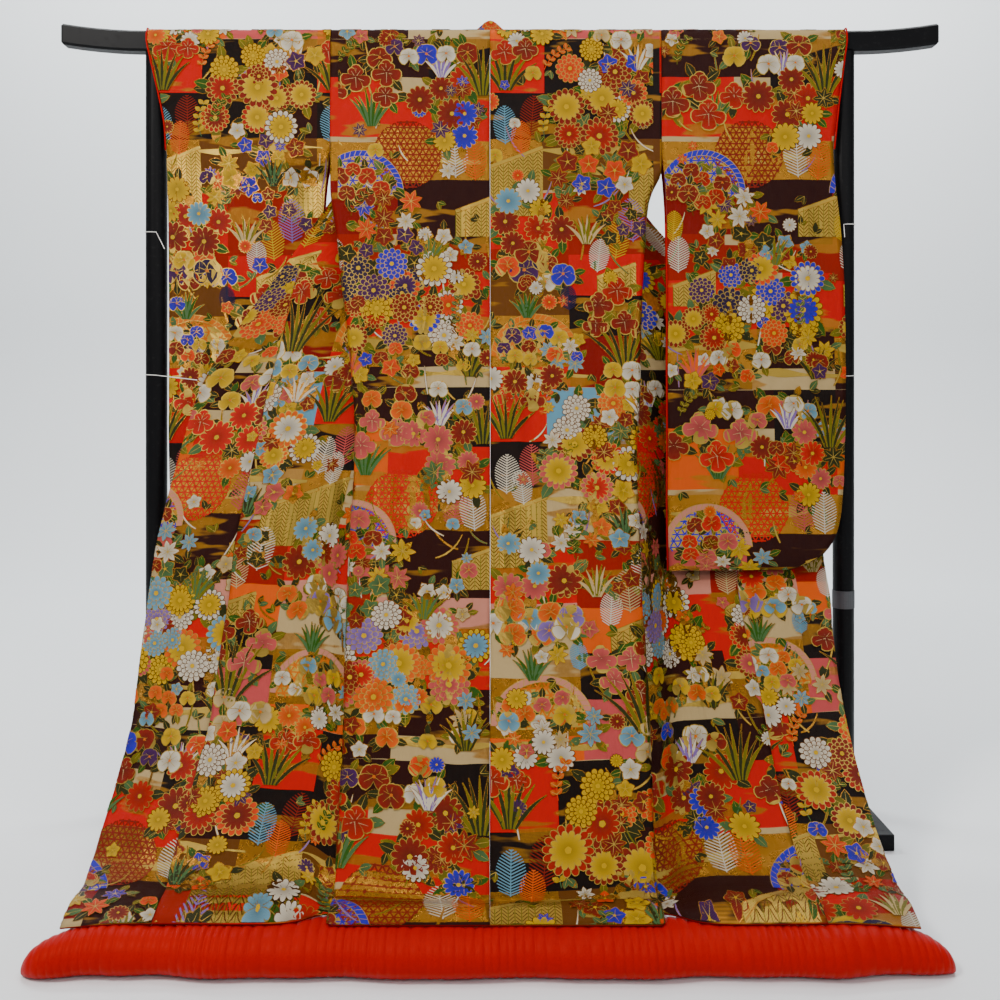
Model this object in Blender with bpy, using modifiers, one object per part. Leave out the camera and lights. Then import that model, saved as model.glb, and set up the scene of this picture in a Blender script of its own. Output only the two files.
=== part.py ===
"""Uchikake wedding kimono spread back outwards on a lacquered kimono rack, in metres with +Z up.

The robe hangs over the rack's bar with its back towards -Y. Both fronts are drawn outwards as
wings, the train runs forward over the floor, and its hem rests on a padded roll. Depths in the
tables are measured from the rack's plane; RACK_Y moves that plane so that the part is centred.
"""

import math
from collections import namedtuple

import bmesh
import bpy
from mathutils import Vector

RACK_Y = 0.2280
WALL = 0.0024
SEAM = 0.0004
EDGE_ROLL = 0.0016
EDGE_ROLL_LIFT = 1.07

BAR_LENGTH = 1.706
BAR_DEPTH = 0.032
BAR_TOP = 1.518
BAR_HEIGHT = 0.040
BAR_RISE = 0.014
BAR_RISE_RUN = 0.170
BAR_CHAMFER = 0.004
POST_X = 0.671
POST_RADIUS = 0.0205
FOOT_WIDTH = 0.058
FOOT_HEIGHT = 0.029
FOOT_LENGTH = 0.400
RAIL_HEIGHT = 0.030
RAIL_DEPTH = 0.020
RAIL_Z = 0.150
TAPE_Z = 0.412
TAPE_HEIGHT = 0.034
TAPE_THICKNESS = 0.0006
THREAD_RADIUS = 0.0007
THREAD_SLACK = 0.0010
TOUCH = 0.0003

BACK_CENTRE_TOP = -0.0195
BACK_CENTRE_HEM = -0.0140
FOLD_RADIUS = 0.009
COLLAR_WIDTH = 0.055
COLLAR_LAY = WALL + 0.0014
COLLAR_END_ROW = 8.0
OKUMI_TOP_ROW = 4.0
WING_LEAD = 0.070

HEM_ROLL_DEPTH = 0.045
HEM_ROLL_HEIGHT = 0.033
HEM_ROLL_AXIS = 0.0295
HEM_ROLL_BACK = 0.0035
HEM_ROLL_TIP = 0.008
HEM_ROLL_TAPER = 0.165

# Each body row is one level of the hanging cloth: its height, the depth of the back at the centre
# seam and at its side folds, and how far the layer that turns under lies behind (lay_back), the
# wing behind that (lay_wing), and how far each layer sinks below the one above it (sink).
Level = namedtuple("Level", "z y_centre y_fold lay_back lay_wing sink")
LEVELS = (
    Level(1.4950, -0.0225, -0.0225, 0.0420, 0.016, 0.0000),
    Level(1.4000, -0.0240, -0.0240, 0.0440, 0.016, 0.0000),
    Level(1.2840, -0.0270, -0.0270, 0.0370, 0.016, 0.0000),
    Level(1.1740, -0.0320, -0.0300, 0.0220, 0.016, 0.0000),
    Level(1.0600, -0.0450, -0.0420, 0.0180, 0.016, 0.0000),
    Level(0.9400, -0.0630, -0.0580, 0.0180, 0.016, 0.0000),
    Level(0.8200, -0.0920, -0.0850, 0.0180, 0.016, 0.0000),
    Level(0.7100, -0.1270, -0.1180, 0.0180, 0.016, 0.0000),
    Level(0.6000, -0.1700, -0.1600, 0.0180, 0.016, 0.0000),
    Level(0.5100, -0.2220, -0.2080, 0.0180, 0.016, 0.0000),
    Level(0.4400, -0.2650, -0.2480, 0.0180, 0.016, 0.0000),
    Level(0.3700, -0.3120, -0.2920, 0.0180, 0.016, 0.0000),
    Level(0.3000, -0.3600, -0.3380, 0.0180, 0.016, 0.0000),
    Level(0.2350, -0.4120, -0.3850, 0.0180, 0.016, 0.0010),
    Level(0.1700, -0.4680, -0.4350, 0.0160, 0.015, 0.0040),
    Level(0.1150, -0.5150, -0.4830, 0.0120, 0.012, 0.0070),
    Level(0.0840, -0.5400, -0.5150, 0.0060, 0.006, 0.0070),
    Level(0.0730, -0.5560, -0.5450, 0.0010, 0.001, 0.0056),
    Level(0.0755, -0.5760, -0.5720, 0.0010, 0.001, 0.0056),
    Level(0.0650, -0.6120, -0.6120, 0.0180, 0.016, 0.0002),
)
LAST_ROW = len(LEVELS) - 1

# Across each side, from the rack's middle outwards: the back's side fold, the inner turn of the
# front, the wing's free edge, the okumi's width beside that edge, and the wing's depth just past
# the fold, at the okumi seam and at its edge; edge_drop lowers the edge below the row's height.
Side = namedtuple("Side", "fold turn edge okumi y_in y_okumi y_edge edge_drop")
LEFT = (
    Side(0.350, 0.092, 0.158, 0.000, 0.036, 0.036, 0.036, 0.000),
    Side(0.350, 0.100, 0.198, 0.000, 0.037, 0.037, 0.037, 0.000),
    Side(0.345, 0.112, 0.266, 0.000, 0.026, 0.026, 0.026, 0.000),
    Side(0.324, 0.125, 0.340, 0.000, 0.004, -0.002, -0.006, 0.000),
    Side(0.306, 0.140, 0.415, 0.030, -0.022, -0.025, -0.027, 0.000),
    Side(0.290, 0.155, 0.500, 0.088, -0.036, -0.040, -0.043, 0.000),
    Side(0.277, 0.168, 0.572, 0.130, -0.046, -0.050, -0.052, 0.000),
    Side(0.270, 0.180, 0.605, 0.142, -0.062, -0.060, -0.058, 0.000),
    Side(0.269, 0.190, 0.632, 0.148, -0.087, -0.079, -0.070, 0.000),
    Side(0.268, 0.202, 0.647, 0.153, -0.122, -0.107, -0.088, 0.000),
    Side(0.265, 0.206, 0.650, 0.158, -0.165, -0.142, -0.112, 0.000),
    Side(0.261, 0.206, 0.648, 0.157, -0.215, -0.190, -0.150, 0.000),
    Side(0.257, 0.204, 0.643, 0.154, -0.265, -0.242, -0.198, 0.000),
    Side(0.253, 0.200, 0.637, 0.150, -0.320, -0.298, -0.250, 0.001),
    Side(0.250, 0.196, 0.639, 0.145, -0.375, -0.358, -0.310, 0.003),
    Side(0.247, 0.192, 0.642, 0.142, -0.428, -0.415, -0.372, 0.006),
    Side(0.245, 0.188, 0.640, 0.140, -0.470, -0.462, -0.425, 0.010),
    Side(0.243, 0.184, 0.630, 0.136, -0.515, -0.513, -0.488, 0.010),
    Side(0.243, 0.184, 0.626, 0.134, -0.555, -0.553, -0.545, 0.009),
    Side(0.243, 0.184, 0.619, 0.130, -0.607, -0.607, -0.604, 0.008),
)
RIGHT = (
    Side(0.340, 0.053, 0.119, 0.000, 0.036, 0.036, 0.036, 0.000),
    Side(0.340, 0.062, 0.152, 0.000, 0.037, 0.037, 0.037, 0.000),
    Side(0.330, 0.082, 0.212, 0.000, 0.028, 0.028, 0.028, 0.000),
    Side(0.286, 0.098, 0.279, 0.000, 0.012, 0.014, 0.016, 0.000),
    Side(0.276, 0.116, 0.371, 0.030, 0.004, 0.008, 0.010, 0.000),
    Side(0.268, 0.136, 0.456, 0.080, -0.004, -0.002, 0.000, 0.000),
    Side(0.262, 0.156, 0.530, 0.122, -0.018, -0.014, -0.012, 0.000),
    Side(0.252, 0.172, 0.578, 0.140, -0.033, -0.029, -0.026, 0.000),
    Side(0.250, 0.186, 0.606, 0.152, -0.050, -0.045, -0.041, 0.000),
    Side(0.249, 0.194, 0.616, 0.164, -0.062, -0.057, -0.052, 0.000),
    Side(0.247, 0.196, 0.615, 0.172, -0.112, -0.106, -0.096, 0.000),
    Side(0.246, 0.196, 0.605, 0.162, -0.184, -0.172, -0.150, 0.000),
    Side(0.244, 0.194, 0.600, 0.150, -0.242, -0.228, -0.203, 0.000),
    Side(0.241, 0.192, 0.597, 0.144, -0.300, -0.285, -0.262, 0.001),
    Side(0.237, 0.188, 0.598, 0.143, -0.360, -0.348, -0.330, 0.003),
    Side(0.234, 0.184, 0.601, 0.143, -0.420, -0.412, -0.396, 0.006),
    Side(0.232, 0.182, 0.604, 0.144, -0.466, -0.462, -0.448, 0.010),
    Side(0.231, 0.180, 0.601, 0.140, -0.515, -0.513, -0.498, 0.010),
    Side(0.231, 0.180, 0.598, 0.136, -0.555, -0.553, -0.545, 0.009),
    Side(0.231, 0.180, 0.592, 0.132, -0.607, -0.607, -0.604, 0.008),
)
SIDES = {-1: LEFT, 1: RIGHT}
ARMHOLE_X = {-1: 0.3280, 1: 0.3120}
ARMHOLE_ROW = 2.0
SEAM_TOP_ROW = 3.0
SEAM_TOP_GAP = 0.006

# The cloth's way over the bar, from behind it to its front, as depth and height.
OVER_BAR = (
    (0.0195, 1.4955),
    (0.0182, 1.5060),
    (0.0176, 1.5160),
    (0.0120, 1.5200),
    (0.0000, 1.5203),
    (-0.0120, 1.5200),
    (-0.0176, 1.5160),
)

# Each sleeve level: its height, its inner and outer edge from the rack's middle, the depth of the
# layer towards the viewer at both edges, and how far the layer behind it hangs at both edges.
Hang = namedtuple("Hang", "z inner outer y_inner y_outer gap_inner gap_outer")
LEFT_SLEEVE = (
    Hang(1.4950, 0.3284, 0.6816, -0.0225, -0.0225, 0.0420, 0.0420),
    Hang(1.4600, 0.3284, 0.6740, -0.0232, -0.0236, 0.0430, 0.0450),
    Hang(1.4000, 0.3284, 0.6600, -0.0240, -0.0240, 0.0440, 0.0420),
    Hang(1.3400, 0.3284, 0.6480, -0.0255, -0.0235, 0.0410, 0.0280),
    Hang(1.2840, 0.3284, 0.6450, -0.0270, -0.0200, 0.0370, 0.0100),
    Hang(1.2200, 0.3400, 0.6450, -0.0040, -0.0140, 0.0260, 0.0034),
    Hang(1.1400, 0.3480, 0.6450, 0.0050, -0.0090, 0.0240, 0.0034),
    Hang(1.0000, 0.3620, 0.6450, 0.0060, -0.0060, 0.0230, 0.0034),
    Hang(0.8600, 0.3620, 0.6450, 0.0040, -0.0060, 0.0220, 0.0034),
    Hang(0.7400, 0.3620, 0.6450, 0.0000, -0.0070, 0.0200, 0.0034),
    Hang(0.6400, 0.3620, 0.6430, -0.0040, -0.0080, 0.0160, 0.0034),
    Hang(0.5800, 0.3620, 0.6370, -0.0070, -0.0090, 0.0120, 0.0034),
    Hang(0.5350, 0.3620, 0.6200, -0.0090, -0.0100, 0.0080, 0.0034),
    Hang(0.5020, 0.3630, 0.5900, -0.0110, -0.0110, 0.0050, 0.0034),
    Hang(0.4820, 0.3640, 0.5400, -0.0120, -0.0120, 0.0034, 0.0034),
)
RIGHT_SLEEVE = (
    Hang(1.4950, 0.3124, 0.6690, -0.0225, -0.0225, 0.0420, 0.0420),
    Hang(1.4600, 0.3124, 0.6640, -0.0232, -0.0240, 0.0430, 0.0450),
    Hang(1.4000, 0.3124, 0.6560, -0.0240, -0.0255, 0.0440, 0.0380),
    Hang(1.3400, 0.3124, 0.6490, -0.0255, -0.0265, 0.0410, 0.0220),
    Hang(1.2840, 0.3124, 0.6430, -0.0270, -0.0275, 0.0370, 0.0060),
    Hang(1.2200, 0.3180, 0.6460, -0.0290, -0.0290, 0.0330, 0.0034),
    Hang(1.1400, 0.3215, 0.6550, -0.0320, -0.0310, 0.0300, 0.0034),
    Hang(1.0000, 0.3220, 0.6618, -0.0420, -0.0370, 0.0290, 0.0034),
    Hang(0.8600, 0.3200, 0.6610, -0.0520, -0.0460, 0.0270, 0.0034),
    Hang(0.7400, 0.3190, 0.6570, -0.0620, -0.0550, 0.0240, 0.0034),
    Hang(0.6400, 0.3170, 0.6510, -0.0720, -0.0640, 0.0190, 0.0034),
    Hang(0.5800, 0.3160, 0.6440, -0.0790, -0.0700, 0.0140, 0.0034),
    Hang(0.5350, 0.3150, 0.6280, -0.0900, -0.0780, 0.0080, 0.0034),
    Hang(0.5020, 0.3145, 0.5960, -0.0985, -0.0850, 0.0050, 0.0034),
    Hang(0.4820, 0.3140, 0.5440, -0.1030, -0.0890, 0.0034, 0.0034),
)
SLEEVES = {-1: LEFT_SLEEVE, 1: RIGHT_SLEEVE}
WRIST_ROW = 4
REAR_OUTER_LIMIT = 0.6440

# Soft folds: where across a panel each ridge lies, from its inner to its outer edge, with the
# rows it runs between, its height and its half width.
Ridge = namedtuple("Ridge", "across lean top end height half")
BACK_RIDGES = (
    Ridge(0.14, 0.02, 3.0, 17.0, 0.0050, 0.020),
    Ridge(0.42, -0.06, 5.0, 17.0, -0.0045, 0.026),
    Ridge(0.66, 0.05, 2.0, 16.0, 0.0055, 0.022),
)
WING_RIDGES = (
    Ridge(0.46, -0.10, 6.0, 17.0, 0.0050, 0.024),
    Ridge(0.66, 0.04, 9.0, 17.0, -0.0045, 0.022),
    Ridge(0.84, -0.03, 8.0, 16.5, 0.0040, 0.020),
)
SLEEVE_RIDGES = (
    Ridge(0.22, 0.03, 1.0, 13.0, 0.0035, 0.022),
    Ridge(0.50, -0.05, 3.0, 13.5, -0.0040, 0.028),
    Ridge(0.78, 0.02, 2.0, 13.0, 0.0035, 0.020),
)

# Each tie: the side, the height where it rounds the post, and the point of cloth it holds, as
# distance from the rack's middle, depth and height.
Tie = namedtuple("Tie", "name side z_post x y z")
TIES = (
    Tie("tie_left_upper", -1, 1.125, 0.6475, -0.0270, 1.092),
    Tie("tie_left_lower", -1, 0.848, 0.5760, -0.0580, 0.838),
    Tie("tie_right_upper", 1, 1.140, 0.6600, -0.0440, 1.112),
    Tie("tie_right_lower", 1, 0.846, 0.6635, -0.0550, 0.846),
)

Finish = namedtuple("Finish", "colour roughness metallic")
BROCADE_RED = Finish((0.62, 0.10, 0.06), 0.55, 0.0)
BROCADE_GOLD = Finish((0.66, 0.46, 0.18), 0.45, 0.2)
BROCADE_CREAM = Finish((0.78, 0.66, 0.48), 0.55, 0.0)
LINING_RED = Finish((0.60, 0.03, 0.03), 0.50, 0.0)
LACQUER = Finish((0.006, 0.006, 0.007), 0.12, 0.0)
THREAD_WHITE = Finish((0.80, 0.78, 0.74), 0.60, 0.0)
TAPE_GREY = Finish((0.05, 0.05, 0.055), 0.60, 0.0)


def clear_scene():
    for obj in list(bpy.data.objects):
        bpy.data.objects.remove(obj, do_unlink=True)


def new_collection(name):
    collection = bpy.data.collections.new(name)
    bpy.context.scene.collection.children.link(collection)
    return collection


def finish_material(finish, cache={}):
    if finish not in cache:
        material = bpy.data.materials.new("finish_%d" % (len(cache) + 1))
        material.use_nodes = True
        shader = material.node_tree.nodes["Principled BSDF"]
        shader.inputs["Base Color"].default_value = (*finish.colour, 1.0)
        shader.inputs["Roughness"].default_value = finish.roughness
        shader.inputs["Metallic"].default_value = finish.metallic
        cache[finish] = material
    return cache[finish]


def add_object(name, data, collection, finish):
    obj = bpy.data.objects.new(name, data)
    data.materials.append(finish_material(finish))
    collection.objects.link(obj)
    return obj


def lerp(a, b, t):
    return a + (b - a) * t


def smoothstep(t):
    t = min(max(t, 0.0), 1.0)
    return t * t * (3.0 - 2.0 * t)


def spline(a, b, c, d, t):
    """Catmull-Rom value between b and c."""
    return 0.5 * (
        2.0 * b
        + (c - a) * t
        + (2.0 * a - 5.0 * b + 4.0 * c - d) * t * t
        + (3.0 * b - a - 3.0 * c + d) * t * t * t
    )


def steady(a, b, c, d, t):
    """A smooth value between b and c that never runs past either of them."""
    before, here, after = b - a, c - b, d - c
    start = 2.0 * before * here / (before + here) if before * here > 0.0 else 0.0
    end = 2.0 * here * after / (here + after) if here * after > 0.0 else 0.0
    rest = 1.0 - t
    return rest * rest * ((1.0 + 2.0 * t) * b + t * start) + t * t * ((1.0 + 2.0 * rest) * c - rest * end)


def table_row(table, row):
    """The table's columns at a row number that may lie between two rows."""
    last = len(table) - 1
    row = min(max(row, 0.0), float(last))
    index = min(int(row), last - 1)
    picks = [table[min(max(index + step, 0), last)] for step in (-1, 0, 1, 2)]
    values = (steady(a, b, c, d, row - index) for a, b, c, d in zip(*picks))
    return type(table[0])(*values)


def path_point(points, distance):
    """The point that lies a distance along a polyline."""
    for start, end in zip(points, points[1:]):
        length = (end - start).length
        if distance <= length:
            return start.lerp(end, distance / length)
        distance -= length
    return points[-1].copy()


def path_length(points):
    return sum((b - a).length for a, b in zip(points, points[1:]))


def smooth_path(keys, steps):
    """A polyline through the key points, with this many steps in each span."""
    ends = [keys[0]] + list(keys) + [keys[-1]]
    points = []
    for a, b, c, d in zip(ends, ends[1:], ends[2:], ends[3:]):
        points += [Vector(spline(*axis, step / steps) for axis in zip(a, b, c, d)) for step in range(steps)]
    return points + [Vector(keys[-1])]


def ridge_height(ridges, across, row, width):
    """The soft folds' height at a place across a panel of this width."""
    height = 0.0
    for ridge in ridges:
        along = (row - ridge.top) / (ridge.end - ridge.top)
        if 0.0 < along < 1.0:
            centre = ridge.across + ridge.lean * along
            offset = (across - centre) * width / ridge.half
            height += ridge.height * math.sin(math.pi * along) * math.exp(-offset * offset)
    return height


def centre_x(row):
    part = max(row - ARMHOLE_ROW, 0.0) / (LAST_ROW - ARMHOLE_ROW)
    return lerp(BACK_CENTRE_TOP, BACK_CENTRE_HEM, part)


def fold_radius(level):
    return min(FOLD_RADIUS, 0.5 * math.hypot(level.lay_back, level.sink))


def back_width(side):
    """The back panel's cloth from the centre seam to the armhole."""
    return ARMHOLE_X[side] - side * BACK_CENTRE_TOP


def back_place(side, stage, row):
    """Cloth distance from the centre seam: stages 0 to 1 lie flat, 1 to 2 turn under, 2 to 3 run in."""
    level = table_row(LEVELS, row)
    edges = table_row(SIDES[side], row)
    radius = fold_radius(level)
    whole = back_width(side)
    flat = min(edges.fold - side * centre_x(row) - radius, 0.90 * whole)
    turned = min(flat + math.pi * radius, 0.975 * whole)
    if flat >= 0.90 * whole:
        turned = 0.95 * whole
    stops = (SEAM / 2, flat, turned, whole - SEAM / 2)
    index = min(int(stage), 2)
    return lerp(stops[index], stops[index + 1], stage - index)


def back_point(side, distance, row):
    """A point of the back, a distance of cloth from the centre seam, in rows down from the bar."""
    if row < 0.0:
        y, z = over_bar(row)
        return Vector((side * (side * centre_x(0.0) + distance), y, z))
    level = table_row(LEVELS, row)
    edges = table_row(SIDES[side], row)
    radius = fold_radius(level)
    inner = side * centre_x(row)
    flat = edges.fold - inner - radius
    arc = math.pi * radius
    if distance <= flat:
        x, depth = inner + distance, 0.0
    elif distance <= flat + arc:
        angle = (distance - flat) / radius
        x, depth = edges.fold - radius + radius * math.sin(angle), 0.5 * (1.0 - math.cos(angle))
    else:
        x, depth = edges.fold - radius - (distance - flat - arc), 1.0
    bow = smoothstep((x - inner) / (edges.fold - inner))
    bow = lerp(bow * bow, 1.0, depth)
    tuck = min(level.lay_back, 2.0 * FOLD_RADIUS)
    y = lerp(level.y_centre, level.y_fold, bow) + depth * tuck
    y -= (1.0 - depth) * ridge_height(BACK_RIDGES, distance / back_width(side), row, back_width(side))
    return Vector((side * x, y, level.z - depth * level.sink))


def over_bar(row):
    """Depth and height of the cloth on the bar; rows are negative there."""
    place = row + len(OVER_BAR)
    index = min(int(max(place, 0.0)), len(OVER_BAR) - 1)
    first = OVER_BAR[index]
    if index + 1 < len(OVER_BAR):
        after = OVER_BAR[index + 1]
    else:
        after = (LEVELS[0].y_centre, LEVELS[0].z)
    part = place - index
    return lerp(first[0], after[0], part), lerp(first[1], after[1], part)


def side_seam_x(side, row):
    """Where the front starts: at the armhole above, and at the back's turned-under edge below."""
    sewn = abs(back_point(side, back_width(side), max(row, ARMHOLE_ROW + 1.0)).x)
    return lerp(ARMHOLE_X[side], sewn, smoothstep(row - ARMHOLE_ROW))


def wing_paths(side, row, found={}):
    """The front's section at a row: inwards behind the back, round its turn, and out to the edge."""
    key = (side, round(row, 5))
    if key in found:
        return found[key]
    level = table_row(LEVELS, row)
    edges = table_row(SIDES[side], row)
    radius = min(0.5 * math.hypot(level.lay_wing, level.sink), 0.008)
    start = side_seam_x(side, row) - SEAM - SEAM_TOP_GAP * (1.0 - smoothstep((row - SEAM_TOP_ROW) / 1.5))
    turn = min(edges.turn, start - 0.012)
    y_leg = level.y_fold + level.lay_back
    y_out = y_leg + level.lay_wing
    z_leg = level.z - level.sink
    z_out = z_leg - level.sink
    reach = edges.edge - turn
    under = min(edges.fold + 0.006, turn + 0.45 * reach)
    inner = min(edges.fold + WING_LEAD, turn + 0.72 * reach)
    seam = max(edges.edge - max(edges.okumi, 0.01), lerp(inner, edges.edge, 0.4))
    past_fold = smoothstep((edges.edge - edges.fold) / 0.05)
    y_under = lerp(lerp(y_out, edges.y_in, 0.5), y_out + 0.001, past_fold)
    leg = [Vector((start, y_leg, z_leg)), Vector((turn + radius, y_leg, z_leg))]
    bend = []
    for step in range(9):
        angle = math.pi * step / 8
        depth = 0.5 * (1.0 - math.cos(angle))
        bend.append(Vector((turn + radius - radius * math.sin(angle), lerp(y_leg, y_out, depth),
                            lerp(z_leg, z_out, depth))))
    middle = 0.5 * (seam + edges.edge)
    out = smooth_path([
        bend[-1],
        Vector((under, y_under, lerp(z_out, level.z, 0.1))),
        Vector((inner, edges.y_in, level.z)),
        Vector((seam, edges.y_okumi, level.z)),
        Vector((middle, lerp(edges.y_okumi, edges.y_edge, 0.42), level.z - 0.25 * edges.edge_drop)),
        Vector((edges.edge, edges.y_edge, level.z - edges.edge_drop)),
    ], 6)
    found[key] = [[Vector((side * p.x, p.y, p.z)) for p in path] for path in (leg, bend, out)]
    return found[key]


def wing_point(side, stage, row):
    """A point of the front: stages 0 to 1 run in, 1 to 2 round the turn, 2 to 3 out to the edge."""
    index = min(int(stage), 2)
    path = wing_paths(side, row)[index]
    part = stage - index
    point = path_point(path, part * path_length(path))
    if index == 2:
        point.y -= ridge_height(WING_RIDGES, part, row, path_length(path))
    return point


def edge_stage(side, distance, row):
    """The stage that lies a distance of cloth in from the free edge."""
    return 3.0 - distance / path_length(wing_paths(side, row)[2])


def sleeve_point(side, across, row, rear):
    """A point of a sleeve layer, from its inner edge to its outer edge; rows are negative on the bar."""
    table = SLEEVES[side]
    hang = table_row(table, row)
    outer = hang.outer
    if rear and row <= WRIST_ROW + 0.6:
        outer = lerp(outer, min(outer, REAR_OUTER_LIMIT), smoothstep(row * 2.0))
    x = lerp(hang.inner, outer, across)
    if row < 0.0:
        y, z = over_bar(row)
        return Vector((side * x, y, z))
    y = lerp(hang.y_inner, hang.y_outer, across)
    y -= ridge_height(SLEEVE_RIDGES, across, row, outer - hang.inner)
    if rear:
        y += lerp(hang.gap_inner, hang.gap_outer, across ** 1.6)
    return Vector((side * x, y, hang.z))


def shift(point):
    return Vector((point.x, point.y + RACK_Y, point.z))


def cloth(name, surface, columns, rows, collection, finish, wall=WALL):
    """A thin wall on the surface's points at each column and row."""
    mesh = bpy.data.meshes.new(name)
    grid = bmesh.new()
    across, down = len(columns) - 1, len(rows) - 1
    bmesh.ops.create_grid(grid, x_segments=across, y_segments=down, size=0.5)
    for vert in grid.verts:
        column = columns[round((vert.co.x + 0.5) * across)]
        row = rows[round((0.5 - vert.co.y) * down)]
        vert.co = shift(surface(column, row))
    bmesh.ops.recalc_face_normals(grid, faces=grid.faces)
    for face in grid.faces:
        face.smooth = True
    grid.to_mesh(mesh)
    grid.free()
    obj = add_object(name, mesh, collection, finish)
    wall_maker = obj.modifiers.new("wall", "SOLIDIFY")
    wall_maker.thickness = wall
    wall_maker.offset = 0.0
    wall_maker.use_even_offset = True
    return obj


def steps(first, last, count):
    return [lerp(first, last, step / count) for step in range(count + 1)]


def tube(name, points, radius, cyclic, collection, finish):
    """A round cord through the points."""
    curve = bpy.data.curves.new(name, "CURVE")
    curve.dimensions = "3D"
    curve.bevel_depth = radius
    curve.bevel_resolution = 2
    curve.use_fill_caps = True
    line = curve.splines.new("POLY")
    line.points.add(len(points) - 1)
    line.use_cyclic_u = cyclic
    for knot, point in zip(line.points, points):
        knot.co = (*shift(point), 1.0)
    return add_object(name, curve, collection, finish)


def box(name, centre, size, collection, finish, chamfer):
    mesh = bpy.data.meshes.new(name)
    shape = bmesh.new()
    bmesh.ops.create_cube(shape, size=1.0)
    bmesh.ops.scale(shape, vec=size, verts=shape.verts)
    shape.to_mesh(mesh)
    shape.free()
    obj = add_object(name, mesh, collection, finish)
    obj.location = shift(Vector(centre))
    edges = obj.modifiers.new("edges", "BEVEL")
    edges.width = chamfer
    edges.segments = 2
    return obj


def body_rows(first, last):
    """Row numbers of the body's sections: closer where the train bends."""
    rows = [0.0, 0.7, 1.4] + steps(2.0, 3.0, 4) + [3.5] + steps(4.0, 8.0, 6)
    rows += [float(row) for row in range(9, LAST_ROW + 1)]
    return [first] + [row for row in rows if first < row <= last]


def build_back(collection):
    stages = steps(0.0, 1.0, 8) + steps(1.0, 2.0, 4)[1:] + steps(2.0, 3.0, 2)[1:]
    wrap = [float(row) for row in range(-len(OVER_BAR), 0)]
    for side, name in ((-1, "back_left"), (1, "back_right")):

        def surface(stage, row, side=side):
            return back_point(side, back_place(side, stage, row), row)

        cloth(name, surface, stages, wrap + body_rows(0.0, LAST_ROW), collection, BROCADE_RED)


def build_fronts(collection):
    hidden = steps(0.0, 1.0, 2) + steps(1.0, 2.0, 5)[1:]
    for side, name in ((-1, "left"), (1, "right")):

        def front(column, row, side=side):
            if column <= 2.0:
                return wing_point(side, column, row)
            taken = table_row(SIDES[side], row).okumi + SEAM if row >= OKUMI_TOP_ROW else 0.0
            return wing_point(side, lerp(2.0, edge_stage(side, taken, row), column - 2.0), row)

        def okumi(column, row, side=side):
            return wing_point(side, edge_stage(side, table_row(SIDES[side], row).okumi * column, row), row)

        def collar(column, row, side=side):
            width = COLLAR_WIDTH * lerp(0.8, 1.0, smoothstep(row))
            point = wing_point(side, edge_stage(side, width * column, row), row)
            point.y += COLLAR_LAY
            return point

        cloth("front_" + name, front, hidden + steps(2.0, 3.0, 8)[1:], body_rows(0.0, LAST_ROW),
              collection, BROCADE_CREAM)
        cloth("okumi_" + name, okumi, steps(1.0, 0.0, 4), body_rows(OKUMI_TOP_ROW, LAST_ROW),
              collection, BROCADE_GOLD)
        cloth("collar_" + name, collar, steps(1.0, 0.0, 3), body_rows(0.0, COLLAR_END_ROW),
              collection, BROCADE_RED)


def build_neck(collection):
    """The collar's stretch behind the neck, from one collar's top over to the other's."""
    left = wing_point(-1, 3.0, 0.0)
    right = wing_point(1, 3.0, 0.0)
    middle = 0.5 * (left.x + right.x)
    half = 0.5 * (right.x - left.x)
    band = COLLAR_WIDTH * 0.8
    base = LEVELS[0].z + SEAM + 0.0004

    def surface(place, height):
        lift = 1.0 - abs(place) ** 2.2
        crown = math.exp(-((place * half / 0.028) ** 2))
        outer = Vector((middle + half * place, 0.0, base + 0.024 * lift ** 0.6 + 0.016 * crown))
        inner = Vector((middle + (half - band) * place, 0.0, base + 0.004 * lift))
        point = inner.lerp(outer, height)
        point.y = left.y + COLLAR_LAY - 0.010 * lift
        return point

    cloth("collar_neck", surface, steps(-1.0, 1.0, 16), steps(1.0, 0.0, 2), collection, BROCADE_RED)


def sleeve_rows():
    last = len(LEFT_SLEEVE) - 1
    return [float(row) for row in range(last + 1)]


def build_sleeves(collection):
    wrap = [float(row) for row in range(-len(OVER_BAR), 0)]
    for side, name in ((-1, "left"), (1, "right")):

        def face(across, row, side=side):
            return sleeve_point(side, across, row, False)

        def rear(across, row, side=side):
            return sleeve_point(side, across, row, True)

        across = steps(0.0, 1.0, 10)
        cloth("sleeve_%s_outer" % name, face, across, wrap + sleeve_rows(), collection, BROCADE_RED)
        cloth("sleeve_%s_inner" % name, rear, across, sleeve_rows(), collection, BROCADE_RED)


def build_sleeve_edges(collection):
    """The lining's narrow padded rolls beside the sleeves' open edges."""
    out = EDGE_ROLL + 2.0 * TOUCH
    bar_middle = BAR_TOP - BAR_HEIGHT / 2
    wrist_rows = [float(row) for row in range(WRIST_ROW, -len(OVER_BAR), -1)]
    inner_rows = [row for row in sleeve_rows() if row > WRIST_ROW + 1]
    for side, name in ((-1, "left"), (1, "right")):
        wrist = []
        for row in wrist_rows:
            point = sleeve_point(side, 1.0, row, False) + Vector((side * out, 0.0, 0.0))
            if row < 0.0:
                point.y *= EDGE_ROLL_LIFT
                point.z = bar_middle + EDGE_ROLL_LIFT * (point.z - bar_middle)
            wrist.append(point)
        tube("sleeve_%s_wrist_roll" % name, wrist, EDGE_ROLL, False, collection, LINING_RED)
        inner = [sleeve_point(side, 0.0, row, False) - Vector((side * out, 0.0, 0.0)) for row in inner_rows]
        tube("sleeve_%s_inner_roll" % name, inner, EDGE_ROLL, False, collection, LINING_RED)


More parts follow.
